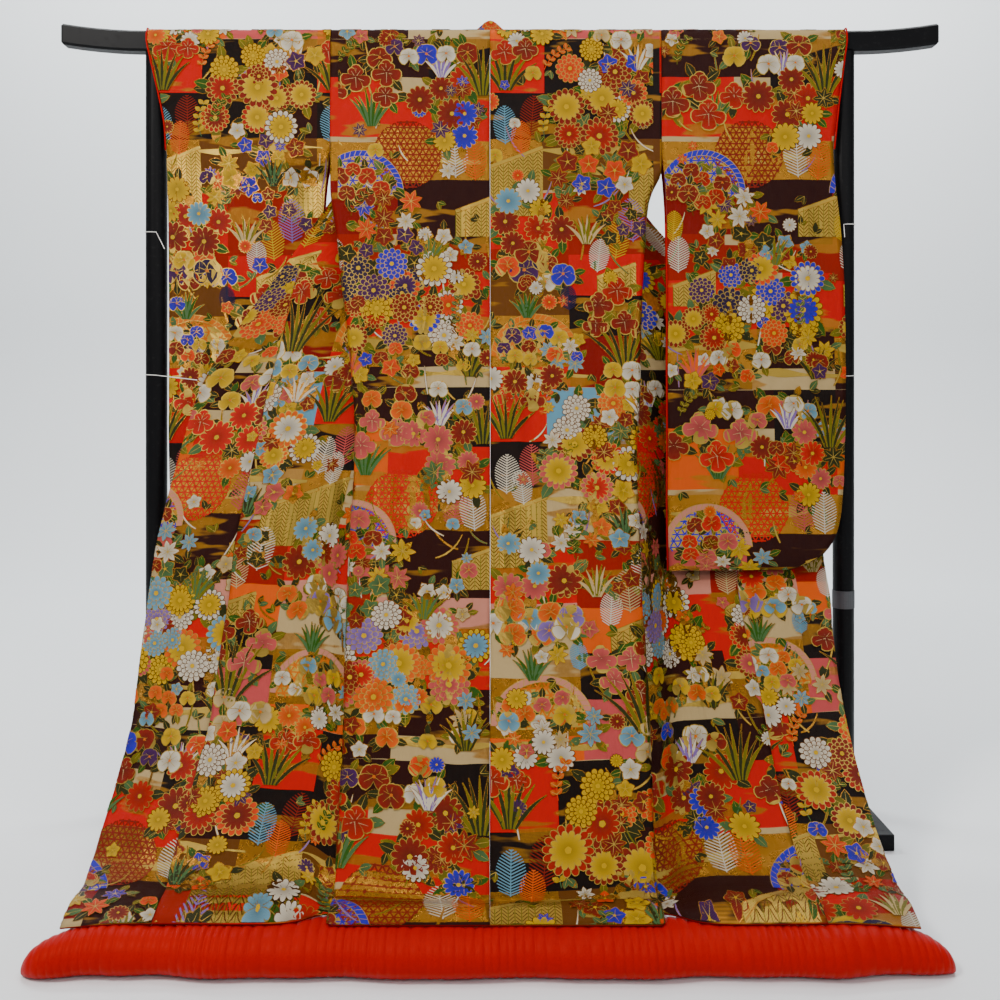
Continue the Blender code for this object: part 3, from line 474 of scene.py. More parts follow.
class RobeForm:
    """The robe's forms as the rack holds them, which the solids share."""

    def __init__(self) -> None:
        self._paths: dict[tuple[int, float], list[list[Vector]]] = {}

    @staticmethod
    def over_bar(row: float) -> Point:
        """Depth and height of the cloth on the bar, where rows are negative."""
        place = row + len(OVER_BAR)
        index = min(int(max(place, 0.0)), len(OVER_BAR) - 1)
        first = OVER_BAR[index]
        after = OVER_BAR[index + 1] if index + 1 < len(OVER_BAR) else (LEVELS[0].y_centre, LEVELS[0].z)
        return lerp(first[0], after[0], place - index), lerp(first[1], after[1], place - index)

    @staticmethod
    def centre_x(row: float) -> float:
        """Where the centre back seam runs."""
        part = max(row - ARMHOLE_ROW, 0.0) / (LAST_ROW - ARMHOLE_ROW)
        return lerp(BACK_CENTRE_TOP, BACK_CENTRE_HEM, part)

    @staticmethod
    def fold_radius(level: Level) -> float:
        """The radius of the back's side fold."""
        return min(FOLD_RADIUS, 0.5 * math.hypot(level.lay_back, level.sink))

    @staticmethod
    def back_width(side: int) -> float:
        """The back panel's cloth from the centre seam to the armhole."""
        return ARMHOLE_X[side] - side * BACK_CENTRE_TOP

    def back_place(self, side: int, stage: float, row: float) -> float:
        """Cloth distance from the centre seam: stage 1 is where the side turns under, 2 where it has."""
        level = table_row(LEVELS, row)
        edges = table_row(SIDES[side], row)
        radius = self.fold_radius(level)
        whole = self.back_width(side)
        flat = min(edges.fold - side * self.centre_x(row) - radius, 0.90 * whole)
        turned = min(flat + math.pi * radius, 0.975 * whole)
        if flat >= 0.90 * whole:
            turned = 0.95 * whole
        stops = (SEAM / 2, flat, turned, whole - SEAM / 2)
        index = min(int(stage), 2)
        return lerp(stops[index], stops[index + 1], stage - index)

    def back(self, side: int, distance: float, row: float) -> Vector:
        """A point of the back, a distance of cloth from the centre seam."""
        if row < 0.0:
            y, z = self.over_bar(row)
            return Vector((side * (side * self.centre_x(0.0) + distance), y, z))
        level = table_row(LEVELS, row)
        edges = table_row(SIDES[side], row)
        radius = self.fold_radius(level)
        inner = side * self.centre_x(row)
        flat = edges.fold - inner - radius
        arc = math.pi * radius
        if distance <= flat:
            x, depth = inner + distance, 0.0
        elif distance <= flat + arc:
            angle = (distance - flat) / radius
            x, depth = edges.fold - radius + radius * math.sin(angle), 0.5 * (1.0 - math.cos(angle))
        else:
            x, depth = edges.fold - radius - (distance - flat - arc), 1.0
        bow = smoothstep((x - inner) / (edges.fold - inner))
        bow = lerp(bow * bow, 1.0, depth)
        tuck = min(level.lay_back, 2.0 * FOLD_RADIUS)
        width = self.back_width(side)
        y = lerp(level.y_centre, level.y_fold, bow) + depth * tuck
        y -= (1.0 - depth) * ridge_height(BACK_RIDGES, distance / width, row, width)
        return Vector((side * x, y, level.z - depth * level.sink))

    def side_seam_x(self, side: int, row: float) -> float:
        """Where the front starts: at the armhole above, and at the back's turned edge below."""
        sewn = abs(self.back(side, self.back_width(side), max(row, ARMHOLE_ROW + 1.0)).x)
        return lerp(ARMHOLE_X[side], sewn, smoothstep(row - ARMHOLE_ROW))

    def wing_paths(self, side: int, row: float) -> list[list[Vector]]:
        """The front's section: inwards behind the back, round its turn, and out to the edge."""
        key = (side, round(row, 5))
        if key in self._paths:
            return self._paths[key]
        level = table_row(LEVELS, row)
        edges = table_row(SIDES[side], row)
        radius = min(0.5 * math.hypot(level.lay_wing, level.sink), 0.008)
        gap = SEAM_TOP_GAP * (1.0 - smoothstep((row - SEAM_TOP_ROW) / 1.5))
        start = self.side_seam_x(side, row) - SEAM - gap
        turn = min(edges.turn, start - 0.012)
        y_leg = level.y_fold + level.lay_back
        y_out = y_leg + level.lay_wing
        z_leg = level.z - level.sink
        z_out = z_leg - level.sink
        reach = edges.edge - turn
        under = min(edges.fold + 0.006, turn + 0.45 * reach)
        inner = min(edges.fold + WING_LEAD, turn + 0.72 * reach)
        seam = max(edges.edge - max(edges.okumi, 0.01), lerp(inner, edges.edge, 0.4))
        past_fold = smoothstep((edges.edge - edges.fold) / 0.05)
        y_under = lerp(lerp(y_out, edges.y_in, 0.5), y_out + 0.001, past_fold)
        leg = [Vector((start, y_leg, z_leg)), Vector((turn + radius, y_leg, z_leg))]
        bend = []
        for step in range(9):
            angle = math.pi * step / 8
            depth = 0.5 * (1.0 - math.cos(angle))
            x = turn + radius - radius * math.sin(angle)
            bend.append(Vector((x, lerp(y_leg, y_out, depth), lerp(z_leg, z_out, depth))))
        y_middle = lerp(edges.y_okumi, edges.y_edge, 0.42)
        keys = [
            bend[-1],
            Vector((under, y_under, lerp(z_out, level.z, 0.1))),
            Vector((inner, edges.y_in, level.z)),
            Vector((seam, edges.y_okumi, level.z)),
            Vector((0.5 * (seam + edges.edge), y_middle, level.z - 0.25 * edges.edge_drop)),
            Vector((edges.edge, edges.y_edge, level.z - edges.edge_drop)),
        ]
        paths = (leg, bend, smooth_path(keys, 6))
        self._paths[key] = [[Vector((side * p.x, p.y, p.z)) for p in path] for path in paths]
        return self._paths[key]

    def wing(self, side: int, stage: float, row: float) -> Vector:
        """A point of the front: stages 0 to 1 run in, 1 to 2 round the turn, 2 to 3 out."""
        index = min(int(stage), 2)
        path = self.wing_paths(side, row)[index]
        part = stage - index
        point = path_point(path, part * path_length(path))
        if index == 2:
            point.y -= ridge_height(WING_RIDGES, part, row, path_length(path))
        return point

    def edge_stage(self, side: int, distance: float, row: float) -> float:
        """The stage that lies a distance of cloth in from the free edge."""
        return 3.0 - distance / path_length(self.wing_paths(side, row)[2])

    def sleeve(self, side: int, across: float, row: float, rear: bool) -> Vector:
        """A point of a sleeve layer, from its inner edge to its outer edge."""
        hang = table_row(SLEEVES[side], row)
        outer = hang.outer
        if rear and row <= WRIST_ROW + 0.6:
            outer = lerp(outer, min(outer, REAR_OUTER_LIMIT), smoothstep(row * 2.0))
        x = lerp(hang.inner, outer, across)
        if row < 0.0:
            y, z = self.over_bar(row)
            return Vector((side * x, y, z))
        y = lerp(hang.y_inner, hang.y_outer, across)
        y -= ridge_height(SLEEVE_RIDGES, across, row, outer - hang.inner)
        if rear:
            y += lerp(hang.gap_inner, hang.gap_outer, across**1.6)
        return Vector((side * x, y, hang.z))


Section = tuple[list[Vector], list[float], float, float]


class Cloth:
    """A panel of cloth sampled on a grid, with the weave's own coordinates at each point.

    u runs across the weave from the viewer's left and t runs down it from the bar.
    """

    def __init__(
        self,
        name: str,
        section: Callable[[float], Section],
        first: float,
        last: float,
        outward: float,
        creases: Sequence[Crease] = (),
        top: float = 0.0,
        spacing: float = ROW_STEP,
    ) -> None:
        """Samples the panel.

        Args:
            name: The panel's name.
            section: Gives, at a row, the points across, their u, and the u range that figures cover.
            first: The first row number.
            last: The last row number.
            outward: -1 or 1, the way along Y that the outer face looks at the reference column.
            creases: The listed creases.
            top: How far down the cloth the first row is.
            spacing: The distance between rows.
        """
        self.name = name
        rows = self._even_rows(section, first, last, spacing)
        sections = [section(row) for row in rows]
        self.points = np.array([[tuple(p) for p in s[0]] for s in sections])
        self.u = np.array([s[1] for s in sections])
        self.figure_range = np.array([[s[2], s[3]] for s in sections])
        middle = self.points[:, self.points.shape[1] // 2]
        along = np.linalg.norm(np.diff(middle, axis=0), axis=1)
        self.t = top + np.concatenate([[0.0], np.cumsum(along)])
        self.points[:, :, 1] += RACK_Y
        if self.u[0, 0] > self.u[0, -1]:
            self.points = self.points[:, ::-1]
            self.u = self.u[:, ::-1]
        self.normals = self._normals(outward)
        self.points += self.normals * self._relief(creases)[:, :, None]
        self.normals = self._normals(outward)

    @staticmethod
    def _even_rows(
        section: Callable[[float], Section], first: float, last: float, spacing: float
    ) -> list[float]:
        """Row numbers at even distances down the cloth."""
        trial = np.linspace(first, last, int(10 * (last - first)) + 2)
        line = []
        for row in trial:
            points = section(float(row))[0]
            line.append(tuple(points[len(points) // 2]))
        gone = np.concatenate([[0.0], np.cumsum(np.linalg.norm(np.diff(np.array(line), axis=0), axis=1))])
        count = max(4, int(round(gone[-1] / spacing)))
        return [float(row) for row in np.interp(np.linspace(0.0, gone[-1], count + 1), gone, trial)]

    def _normals(self, outward: float) -> np.ndarray:
        """Unit normals on the outer face."""
        across = np.gradient(self.points, axis=1)
        down = np.gradient(self.points, axis=0)
        normals = np.cross(across, down)
        normals /= np.maximum(np.linalg.norm(normals, axis=2, keepdims=True), 1e-12)
        place = (
            int(0.3 * len(self.t)),
            self.points.shape[1] - 3 if self.name.startswith("front_right") else 2,
        )
        if self.name.startswith("back_left"):
            place = (place[0], self.points.shape[1] - 3)
        sign = normals[place][1] * outward
        self.flipped = bool(sign < 0.0)
        return -normals if self.flipped else normals

    def _relief(self, creases: Sequence[Crease]) -> np.ndarray:
        """How far each point stands out by the creases, which fade towards the panel's edges."""
        t = self.t[:, None]
        low, high = self.u.min(axis=1, keepdims=True), self.u.max(axis=1, keepdims=True)
        relief = np.zeros(self.u.shape)
        for crease in creases:
            along = np.clip((t - crease.top) / (crease.end - crease.top), 0.0, 1.0)
            centre = (
                lerp(crease.u_top, crease.u_end, along)
                + crease.wander * np.sin(9.0 * t + 40.0 * crease.u_top)
            )
            strength = np.sin(np.pi * along) * (0.75 + 0.25 * np.sin(17.0 * t + 25.0 * crease.u_end))
            relief += crease.depth * strength * np.exp(-(((self.u - centre) / crease.half) ** 2))
        ripple = np.sin(61.0 * self.u + 7.0 * t) * np.sin(19.0 * t - 23.0 * self.u)
        ripple += 0.6 * np.sin(113.0 * self.u - 31.0 * t) * np.sin(47.0 * t + 11.0 * self.u)
        relief += 0.00035 * ripple
        beside = np.clip(np.minimum(self.u - low, high - self.u) / 0.016, 0.0, 1.0)
        hanging = (
            np.clip((t - self.t[0] - 0.05) / 0.08, 0.0, 1.0)
            * np.clip((self.t[-1] - 0.05 - t) / 0.06, 0.0, 1.0)
        )
        return relief * beside * hanging

    def place(self, u: np.ndarray, t: np.ndarray, lift: np.ndarray) -> np.ndarray:
        """Points of the cloth at weave coordinates, raised off its middle surface."""
        position = np.interp(t, self.t, np.arange(len(self.t)))
        index = np.minimum(position.astype(int), len(self.t) - 2)
        placed = np.zeros((len(u), 3))
        columns = np.arange(self.u.shape[1])
        for row in np.unique(index):
            chosen = np.nonzero(index == row)[0]
            part = (position[chosen] - row)[:, None]
            ends = []
            for line in (row, row + 1):
                column = np.interp(u[chosen], self.u[line], columns)
                ends.append([
                    np.stack([np.interp(column, columns, grid[line, :, axis]) for axis in range(3)], axis=1)
                    for grid in (self.points, self.normals)
                ])
            point = ends[0][0] * (1.0 - part) + ends[1][0] * part
            normal = ends[0][1] * (1.0 - part) + ends[1][1] * part
            placed[chosen] = point + normal * lift[chosen][:, None]
        return placed

    def flat_size(self) -> tuple[float, float, float]:
        """The cut's width, length and area."""
        grid = self.points
        widths = np.linalg.norm(np.diff(grid, axis=1), axis=2).sum(axis=1)
        falling = grid[1:, 1:] - grid[:-1, :-1]
        rising = grid[:-1, 1:] - grid[1:, :-1]
        area = float(0.5 * np.linalg.norm(np.cross(falling, rising), axis=2).sum())
        width, length = float(widths.max()), float(self.t[-1] - self.t[0])
        return width, length, min(area, width * length)

    def shell(self, materials: Sequence[bpy.types.Material]) -> bpy.types.Object:
        """The panel as a closed thin wall: brocade outside, and lining inside and at its rim."""
        down, across = self.u.shape
        mesh = bmesh.new()
        weave = mesh.loops.layers.uv.new("weave")
        bmesh.ops.create_grid(mesh, x_segments=across - 1, y_segments=down - 1, size=0.5)
        where = {}
        for vert in mesh.verts:
            column = round((vert.co.x + 0.5) * (across - 1))
            row = round((0.5 - vert.co.y) * (down - 1))
            where[vert] = (row, column)
            vert.co = self.points[row, column] + SHELL_HALF * self.normals[row, column]
        for face in mesh.faces:
            for loop in face.loops:
                row, column = where[loop.vert]
                loop[weave].uv = (self.u[row, column], -self.t[row])
        rim = [edge for edge in mesh.edges if edge.is_boundary]
        twin = bmesh.ops.duplicate(mesh, geom=mesh.verts[:] + mesh.edges[:] + mesh.faces[:])
        made = {source: copy for source, copy in twin["vert_map"].items() if source in where}
        for source, copy in made.items():
            row, column = where[source]
            copy.co = self.points[row, column] - SHELL_HALF * self.normals[row, column]
        inner = [item for item in twin["geom"] if isinstance(item, bmesh.types.BMFace)]
        bmesh.ops.reverse_faces(mesh, faces=inner)
        for face in inner:
            face.material_index = 1
        inner_rim = [
            item
            for item in twin["geom"]
            if isinstance(item, bmesh.types.BMEdge) and item.is_boundary
        ]
        bridged = bmesh.ops.bridge_loops(mesh, edges=rim + inner_rim)
        for face in bridged["faces"]:
            face.material_index = 1
        mesh.normal_update()
        outer = next(face for face in mesh.faces if face.material_index == 0)
        row, column = where[outer.verts[0]]
        if outer.normal.dot(Vector(self.normals[row, column])) < 0.0:
            bmesh.ops.reverse_faces(mesh, faces=mesh.faces[:])
        for face in mesh.faces:
            face.smooth = True
        return finished("cloth_" + self.name, mesh, materials)


def finished(name: str, mesh: bmesh.types.BMesh, materials: Sequence[bpy.types.Material]) -> bpy.types.Object:
    """Puts a built mesh into the scene with its materials."""
    data = bpy.data.meshes.new(name)
    mesh.to_mesh(data)
    mesh.free()
    for material in materials:
        data.materials.append(material)
    piece = bpy.data.objects.new(name, data)
    bpy.context.scene.collection.objects.link(piece)
    LOG.info("%s: %d faces", name, len(data.polygons))
    return piece


def darker(colour: Colour, share: float) -> Colour:
    """The colour at a share of its strength."""
    return colour[0] * share, colour[1] * share, colour[2] * share, colour[3]


class FigureSheet:
    """Woven figures drawn flat in weave coordinates, as polygons with a colour at each corner."""

    ROUND = ((0.0, 0.34), (0.42, 0.86), (0.76, 1.0), (0.94, 0.62), (1.0, 0.0))
    POINTED = ((0.0, 0.30), (0.36, 0.96), (0.66, 0.80), (0.88, 0.34), (1.0, 0.0))
    LENS = ((0.0, 0.05), (0.25, 0.78), (0.5, 1.0), (0.78, 0.66), (1.0, 0.0))

    def __init__(self, seed: int) -> None:
        """Starts an empty sheet.

        Args:
            seed: Sets the small chance differences between figures.
        """
        self.mesh = bmesh.new()
        self.colours = self.mesh.loops.layers.float_color.new("figure")
        self.chance = random.Random(seed)
        self.order = 0

    def polygon(
        self, points: Sequence[Point], colours: Union[Colour, Sequence[Colour]], level: float
    ) -> None:
        """Adds one flat polygon.

        Args:
            points: Its corners.
            colours: One colour, or one for each corner.
            level: How many steps it lies above the lowest figures.
        """
        each = list(colours) if isinstance(colours[0], tuple) else [colours] * len(points)
        turn = sum(a[0] * b[1] - b[0] * a[1] for a, b in zip(points, [*points[1:], points[0]]))
        if turn < 0.0:
            points, each = points[::-1], each[::-1]
        face = self.mesh.faces.new([self.mesh.verts.new((u, t, level)) for u, t in points])
        for loop, colour in zip(face.loops, each):
            loop[self.colours] = colour

    def strip(self, line: Sequence[Point], halves: Sequence[float], colour: Colour, level: float) -> None:
        """Adds a ribbon along a line, with its half width at each point."""
        sides = []
        for index, (u, t) in enumerate(line):
            before, after = line[max(index - 1, 0)], line[min(index + 1, len(line) - 1)]
            du, dt = after[0] - before[0], after[1] - before[1]
            length = math.hypot(du, dt) or 1.0
            across = (-dt / length * halves[index], du / length * halves[index])
            sides.append((u + across[0], t + across[1], u - across[0], t - across[1]))
        for index, (start, end) in enumerate(zip(sides, sides[1:])):
            run = math.hypot(line[index + 1][0] - line[index][0], line[index + 1][1] - line[index][1])
            pieces = max(1, math.ceil(run / LONGEST))
            for part in range(pieces):
                a = [lerp(x, y, part / pieces) for x, y in zip(start, end)]
                b = [lerp(x, y, (part + 1) / pieces) for x, y in zip(start, end)]
                self.polygon([(a[0], a[1]), (b[0], b[1]), (b[2], b[3]), (a[2], a[3])], colour, level)

    def petal(
        self, place: Point, angle: float, near: float, far: float, half: float,
        colour: Colour, level: float, profile: Sequence[Point] = ROUND,
    ) -> None:
        """Adds one petal, darker at its root.

        Args:
            place: The flower's centre.
            angle: The petal's direction in radians.
            near: How far from the centre it starts.
            far: How far from the centre it ends.
            half: Its half width.
            colour: Its colour at the tip.
            level: Its level.
            profile: Shares of length and of half width.
        """
        along, across = (math.cos(angle), math.sin(angle)), (-math.sin(angle), math.cos(angle))
        rungs = []
        for part, wide in profile:
            reach, out = lerp(near, far, part), wide * half
            u, t = place[0] + reach * along[0], place[1] + reach * along[1]
            ends = ((u + out * across[0], t + out * across[1]), (u - out * across[0], t - out * across[1]))
            rungs.append((ends, darker(colour, lerp(0.55, 1.08, part)), wide))
        for (a, tint, _), (b, shade, wide) in zip(rungs, rungs[1:]):
            if wide > 0.0:
                self.polygon([a[0], b[0], b[1], a[1]], [tint, shade, shade, tint], level)
            else:
                self.polygon([a[0], b[0], a[1]], [tint, shade, tint], level)

    def scallop(
        self, place: Point, radius: float, petals: int, turn: float, colour: Colour, level: float
    ) -> None:
        """Adds the flower's outline, which shows between and round its petals."""
        points = []
        for index in range(2 * petals):
            angle = turn + math.pi * index / petals
            reach = radius * (1.0 if index % 2 == 0 else 0.90)
            points.append((place[0] + reach * math.cos(angle), place[1] + reach * math.sin(angle)))
        self.polygon(points, colour, level)

    def chrysanthemum(
        self, place: Point, radius: float, rings: int, petals: int, outer: Silk, inner: Silk
    ) -> None:
        """Adds a many-petalled flower of one or more rings."""
        level = self.next_level()
        turn = self.chance.uniform(0.0, math.pi)
        edge = Silk.PALE_GOLD if outer not in (Silk.WHITE, Silk.YELLOW, Silk.CREAM) else Silk.DARK_GOLD
        for ring in range(rings):
            far = radius * (1.0 - 0.27 * ring)
            near = far * 0.42 if ring < rings - 1 else 0.10 * radius
            count = max(8, petals - 2 * ring)
            half = 0.92 * math.pi * 0.80 * far / count
            silk = outer if ring < max(1, rings - 1) else inner
            lift = level + 0.9 * ring
            for index in range(count):
                angle = turn + 0.5 * ring + 2.0 * math.pi * index / count
                even = 0.12 * (index % 2)
                self.petal(place, angle, near * 0.92, far + 0.0011, half + 0.0007, edge.value, lift + even)
                self.petal(place, angle, near, far, half - 0.0003, silk.value, lift + 0.35 + even)
        self.scallop(place, radius * 0.15, 5, turn, Silk.YELLOW.value, level + 0.9 * rings + 0.3)

    def bell(self, place: Point, radius: float, silk: Silk) -> None:
        """Adds a five-pointed bellflower."""
        level = self.next_level()
        turn = self.chance.uniform(0.0, math.pi)
        for index in range(5):
            angle = turn + 2.0 * math.pi * index / 5
            self.petal(place, angle, 0.0, radius * 1.1, radius * 0.52, Silk.GOLD.value, level, self.POINTED)
            self.petal(
                place, angle, radius * 0.06, radius, radius * 0.44, silk.value, level + 0.4, self.POINTED
            )
            self.vein(place, angle, radius * 0.72, Silk.PALE_GOLD, level + 0.8)
        self.scallop(place, radius * 0.14, 4, turn, Silk.YELLOW.value, level + 1.2)

    def pansy(self, place: Point, radius: float, silk: Silk) -> None:
        """Adds a round five-petalled flower with one broad lower petal."""
        level = self.next_level()
        for index, (degrees, size) in enumerate(
            ((-150, 0.9), (-90, 0.8), (-30, 0.9), (35, 1.05), (145, 1.05))
        ):
            angle = math.radians(degrees + self.chance.uniform(-8, 8))
            far = radius * size
            lift = level + 0.16 * index
            self.petal(place, angle, 0.0, far * 1.08, far * 0.56, Silk.PALE_GOLD.value, lift)
            self.petal(place, angle, far * 0.05, far, far * 0.49, silk.value, lift + 0.25)
            self.vein(place, angle, far * 0.7, Silk.PALE_GOLD, lift + 0.4)
        self.scallop(place, radius * 0.12, 4, 0.0, Silk.AMBER.value, level + 1.5)

    def iris(self, place: Point, radius: float, silk: Silk) -> None:
        """Adds an iris seen from its side: three falls and three upright petals."""
        level = self.next_level()
        parts = (
            (-90, 0.95, 0.34),
            (-52, 0.8, 0.26),
            (-128, 0.8, 0.26),
            (14, 1.1, 0.42),
            (166, 1.1, 0.42),
            (84, 1.0, 0.46),
        )
        for index, (degrees, size, half) in enumerate(parts):
            angle = math.radians(degrees + self.chance.uniform(-6, 6))
            lift = level + 0.14 * index
            self.petal(
                place, angle, 0.0, radius * size * 1.07, radius * half * 1.1, Silk.PALE_GOLD.value, lift
            )
            self.petal(place, angle, 0.0, radius * size, radius * half, silk.value, lift + 0.22)
            self.vein(place, angle, radius * size * 0.75, Silk.CREAM, lift + 0.35)

    def vein(self, place: Point, angle: float, reach: float, silk: Silk, level: float) -> None:
        """Adds a fine line along a petal."""
        end = (place[0] + reach * math.cos(angle), place[1] + reach * math.sin(angle))
        self.strip([place, end], [0.0006, 0.0002], silk.value, level)

    def leaf(
        self, root: Point, angle: float, length: float, silk: Silk, level: float, slim: float = 0.26
    ) -> None:
        """Adds a leaf in two tones with a gold midrib."""
        self.petal(root, angle, 0.0, length * 1.03, length * slim * 1.12, Silk.GOLD.value, level, self.LENS)
        self.petal(root, angle, 0.0, length, length * slim, silk.value, level + 0.2, self.LENS)
        self.vein(root, angle, length * 0.9, Silk.PALE_GOLD, level + 0.4)

    def star_leaf(self, place: Point, radius: float, lobes: int, silk: Silk) -> None:
        """Adds a leaf of several lobes."""
        level = self.next_level()
        turn = self.chance.uniform(0.0, math.pi)
        for index in range(lobes):
            angle = turn + 2.0 * math.pi * index / lobes
            self.petal(
                place, angle, 0.0, radius * 1.07, radius * 2.0 / lobes, Silk.GOLD.value, level, self.POINTED
            )
            self.petal(place, angle, 0.0, radius, radius * 1.7 / lobes, silk.value, level + 0.3, self.POINTED)
            self.vein(place, angle, radius * 0.8, Silk.PALE_GOLD, level + 0.6)

    def blade(self, root: Point, tip: Point, bend: float, half: float, silk: Silk, level: float) -> None:
        """Adds a long blade of grass, bent sideways by a share of its length."""
        du, dt = tip[0] - root[0], tip[1] - root[1]
        middle = (root[0] + 0.5 * du - bend * dt, root[1] + 0.5 * dt + bend * du)
        line, halves = [], []
        for step in range(8):
            part = step / 7
            u = (1 - part) ** 2 * root[0] + 2 * part * (1 - part) * middle[0] + part * part * tip[0]
            t = (1 - part) ** 2 * root[1] + 2 * part * (1 - part) * middle[1] + part * part * tip[1]
            line.append((u, t))
            halves.append(half * (0.5 + 1.3 * part * (1 - part) * 2.0) * (1.0 - part**3) + 0.0002)
        self.strip(line, [wide + 0.0007 for wide in halves], Silk.GOLD.value, level)
        self.strip(line, halves, silk.value, level + 0.25)

    def clump(
        self, root: Point, height: float, count: int, silks: Sequence[Silk], half: float = 0.0026
    ) -> None:
        """Adds a clump of blades that fans upwards."""
        level = self.next_level()
        for index in range(count):
            spread = lerp(-1.0, 1.0, index / max(count - 1, 1)) + self.chance.uniform(-0.08, 0.08)
            tall = height * (1.0 - 0.35 * spread * spread) * self.chance.uniform(0.85, 1.05)
            tip = (root[0] + 0.62 * height * spread, root[1] - tall)
            start = (root[0] + 0.10 * height * spread, root[1])
            silk = silks[index % len(silks)]
            self.blade(start, tip, -0.16 * spread, half, silk, level + 0.05 * index)

    def fern(self, root: Point, angle: float, length: float, silk: Silk, pairs: int = 15) -> None:
        """Adds a striped feather of a fern."""
        level = self.next_level() * 0.4
        along, across = (math.cos(angle), math.sin(angle)), (-math.sin(angle), math.cos(angle))
        tip = (root[0] + length * along[0], root[1] + length * along[1])
        self.strip([root, tip], [0.0009, 0.0005], silk.value, level + 0.2)
        for index in range(pairs):
            part = (index + 0.6) / pairs
            wide = 0.30 * length * math.sin(math.pi * min(1.0, part * 0.80 + 0.20)) ** 0.7
            base = (root[0] + part * length * along[0], root[1] + part * length * along[1])
            for sign in (-1.0, 1.0):
                end = (
                    base[0] + 0.55 * wide * along[0] + sign * wide * across[0],
                    base[1] + 0.55 * wide * along[1] + sign * wide * across[1],
                )
                self.strip([base, end], [0.0011, 0.0008], silk.value, level)

    def sprig(self, root: Point, angle: float, length: float, leaves: int, silk: Silk, stem: Silk) -> None:
        """Adds a curved stem with small round leaves in pairs."""
        level = self.next_level()
        line = []
        for step in range(7):
            part = step / 6
            turn = angle + 0.5 * part
            line.append((root[0] + part * length * math.cos(turn), root[1] + part * length * math.sin(turn)))
        self.strip(line, [0.0007] * 7, stem.value, level)
        for index in range(leaves):
            part = (index + 0.8) / leaves
            turn = angle + 0.5 * part
            base = (root[0] + part * length * math.cos(turn), root[1] + part * length * math.sin(turn))
            for sign in (-0.9, 0.9):
                self.leaf(base, turn + sign, 0.20 * length, silk, level + 0.2, 0.34)

    def lattice(self, place: Point, radius: float, pitch: float, wire: Silk, back: Silk, upper: bool) -> None:
        """Adds a basket ball, or its upper half, woven in three directions."""
        floor = 0.0
        rows = max(4, int(2.0 * radius / 0.011))
        for row in range(rows):
            low, high = (lerp(-radius, radius, (row + step) / rows) for step in (0, 1))
            if upper and high > radius * 0.12:
                break
            a, b = (math.sqrt(max(radius * radius - y * y, 0.0)) for y in (low, high))
            cells = max(2, int(2.0 * max(a, b) / 0.013))
            for cell in range(cells):
                left, right = cell / cells, (cell + 1) / cells
                corners = [
                    (place[0] + lerp(-a, a, left), place[1] + low),
                    (place[0] + lerp(-a, a, right), place[1] + low),
                    (place[0] + lerp(-b, b, right), place[1] + high),
                    (place[0] + lerp(-b, b, left), place[1] + high),
                ]
                if a > 1e-4 and b > 1e-4:
                    self.polygon(corners, back.value, floor)
        for turn in (0.0, math.pi / 3, -math.pi / 3):
            along, across = (math.cos(turn), math.sin(turn)), (-math.sin(turn), math.cos(turn))
            count = int(radius / pitch)
            for index in range(-count, count + 1):
                off = index * pitch
                reach = math.sqrt(max(radius * radius - off * off, 0.0))
                line = []
                for step in range(17):
                    run = lerp(-reach, reach, step / 16)
                    point = (off * across[0] + run * along[0], off * across[1] + run * along[1])
                    if not upper or point[1] < radius * 0.12:
                        line.append((place[0] + point[0], place[1] + point[1]))
                if len(line) > 1:
                    self.strip(line, [0.0013] * len(line), wire.value, floor + 0.5)

    def arch(self, place: Point, radius: float, half: float, silk: Silk) -> None:
        """Adds a basket's bent handle."""
        level = 1.2
        line = []
        for step in range(25):
            angle = math.pi * (1.0 + step / 24)
            line.append((place[0] + radius * math.cos(angle), place[1] + radius * math.sin(angle)))
        self.strip(line, [half + 0.0010] * 25, Silk.PALE_GOLD.value, level)
        self.strip(line, [half] * 25, silk.value, level + 0.25)
        for step in range(1, 24):
            angle = math.pi * (1.0 + step / 24)
            ends = []
            for reach in (radius - half, radius + half):
                turn = angle + 0.035 * (reach - radius) / half
                ends.append((place[0] + reach * math.cos(turn), place[1] + reach * math.sin(turn)))
            self.strip(ends, [0.0005, 0.0005], Silk.PALE_GOLD.value, level + 0.45)

    def fence(self, place: Point, width: float, height: float, slant: float) -> None:
        """Adds a brushwood fence in gold, with a slanting rail and herringbone brush."""
        columns = max(4, int(width / 0.0095))
        column = width / columns
        for index in range(columns):
            left = place[0] + index * column
            rise = [slant * part / columns for part in (index, index + 1)]
            rows = max(3, int((height + rise[0]) / 0.012))
            for row in range(rows):
                parts = (row / rows, (row + 1) / rows)
                corners = [
                    (left, place[1] - (height + rise[0]) * (1 - parts[0])),
                    (left + column, place[1] - (height + rise[1]) * (1 - parts[0])),
                    (left + column, place[1] - (height + rise[1]) * (1 - parts[1])),
                    (left, place[1] - (height + rise[0]) * (1 - parts[1])),
                ]
                self.polygon(corners, Silk.PALE_GOLD.value, 0.3)
            stake = [(left, place[1]), (left, place[1] - height - rise[0])]
            self.strip(stake, [0.0006, 0.0006], Silk.OLIVE.value, 0.8)
            lean = 0.0045 if index % 2 else -0.0045
            brushes = int((height + rise[0]) / 0.0072)
            for brush in range(brushes):
                t = place[1] - 0.004 - brush * 0.0072
                line = [(left + 0.001, t + lean), (left + column - 0.001, t - lean)]
                self.strip(line, [0.0007, 0.0007], Silk.DARK_GOLD.value, 0.7)
        top = [(place[0] + width * s / 6, place[1] - height - slant * s / 6) for s in range(7)]
        self.strip(top, [0.0042] * 7, Silk.GOLD.value, 0.9)
        self.strip(top, [0.0030] * 7, Silk.PALE_GOLD.value, 1.1)

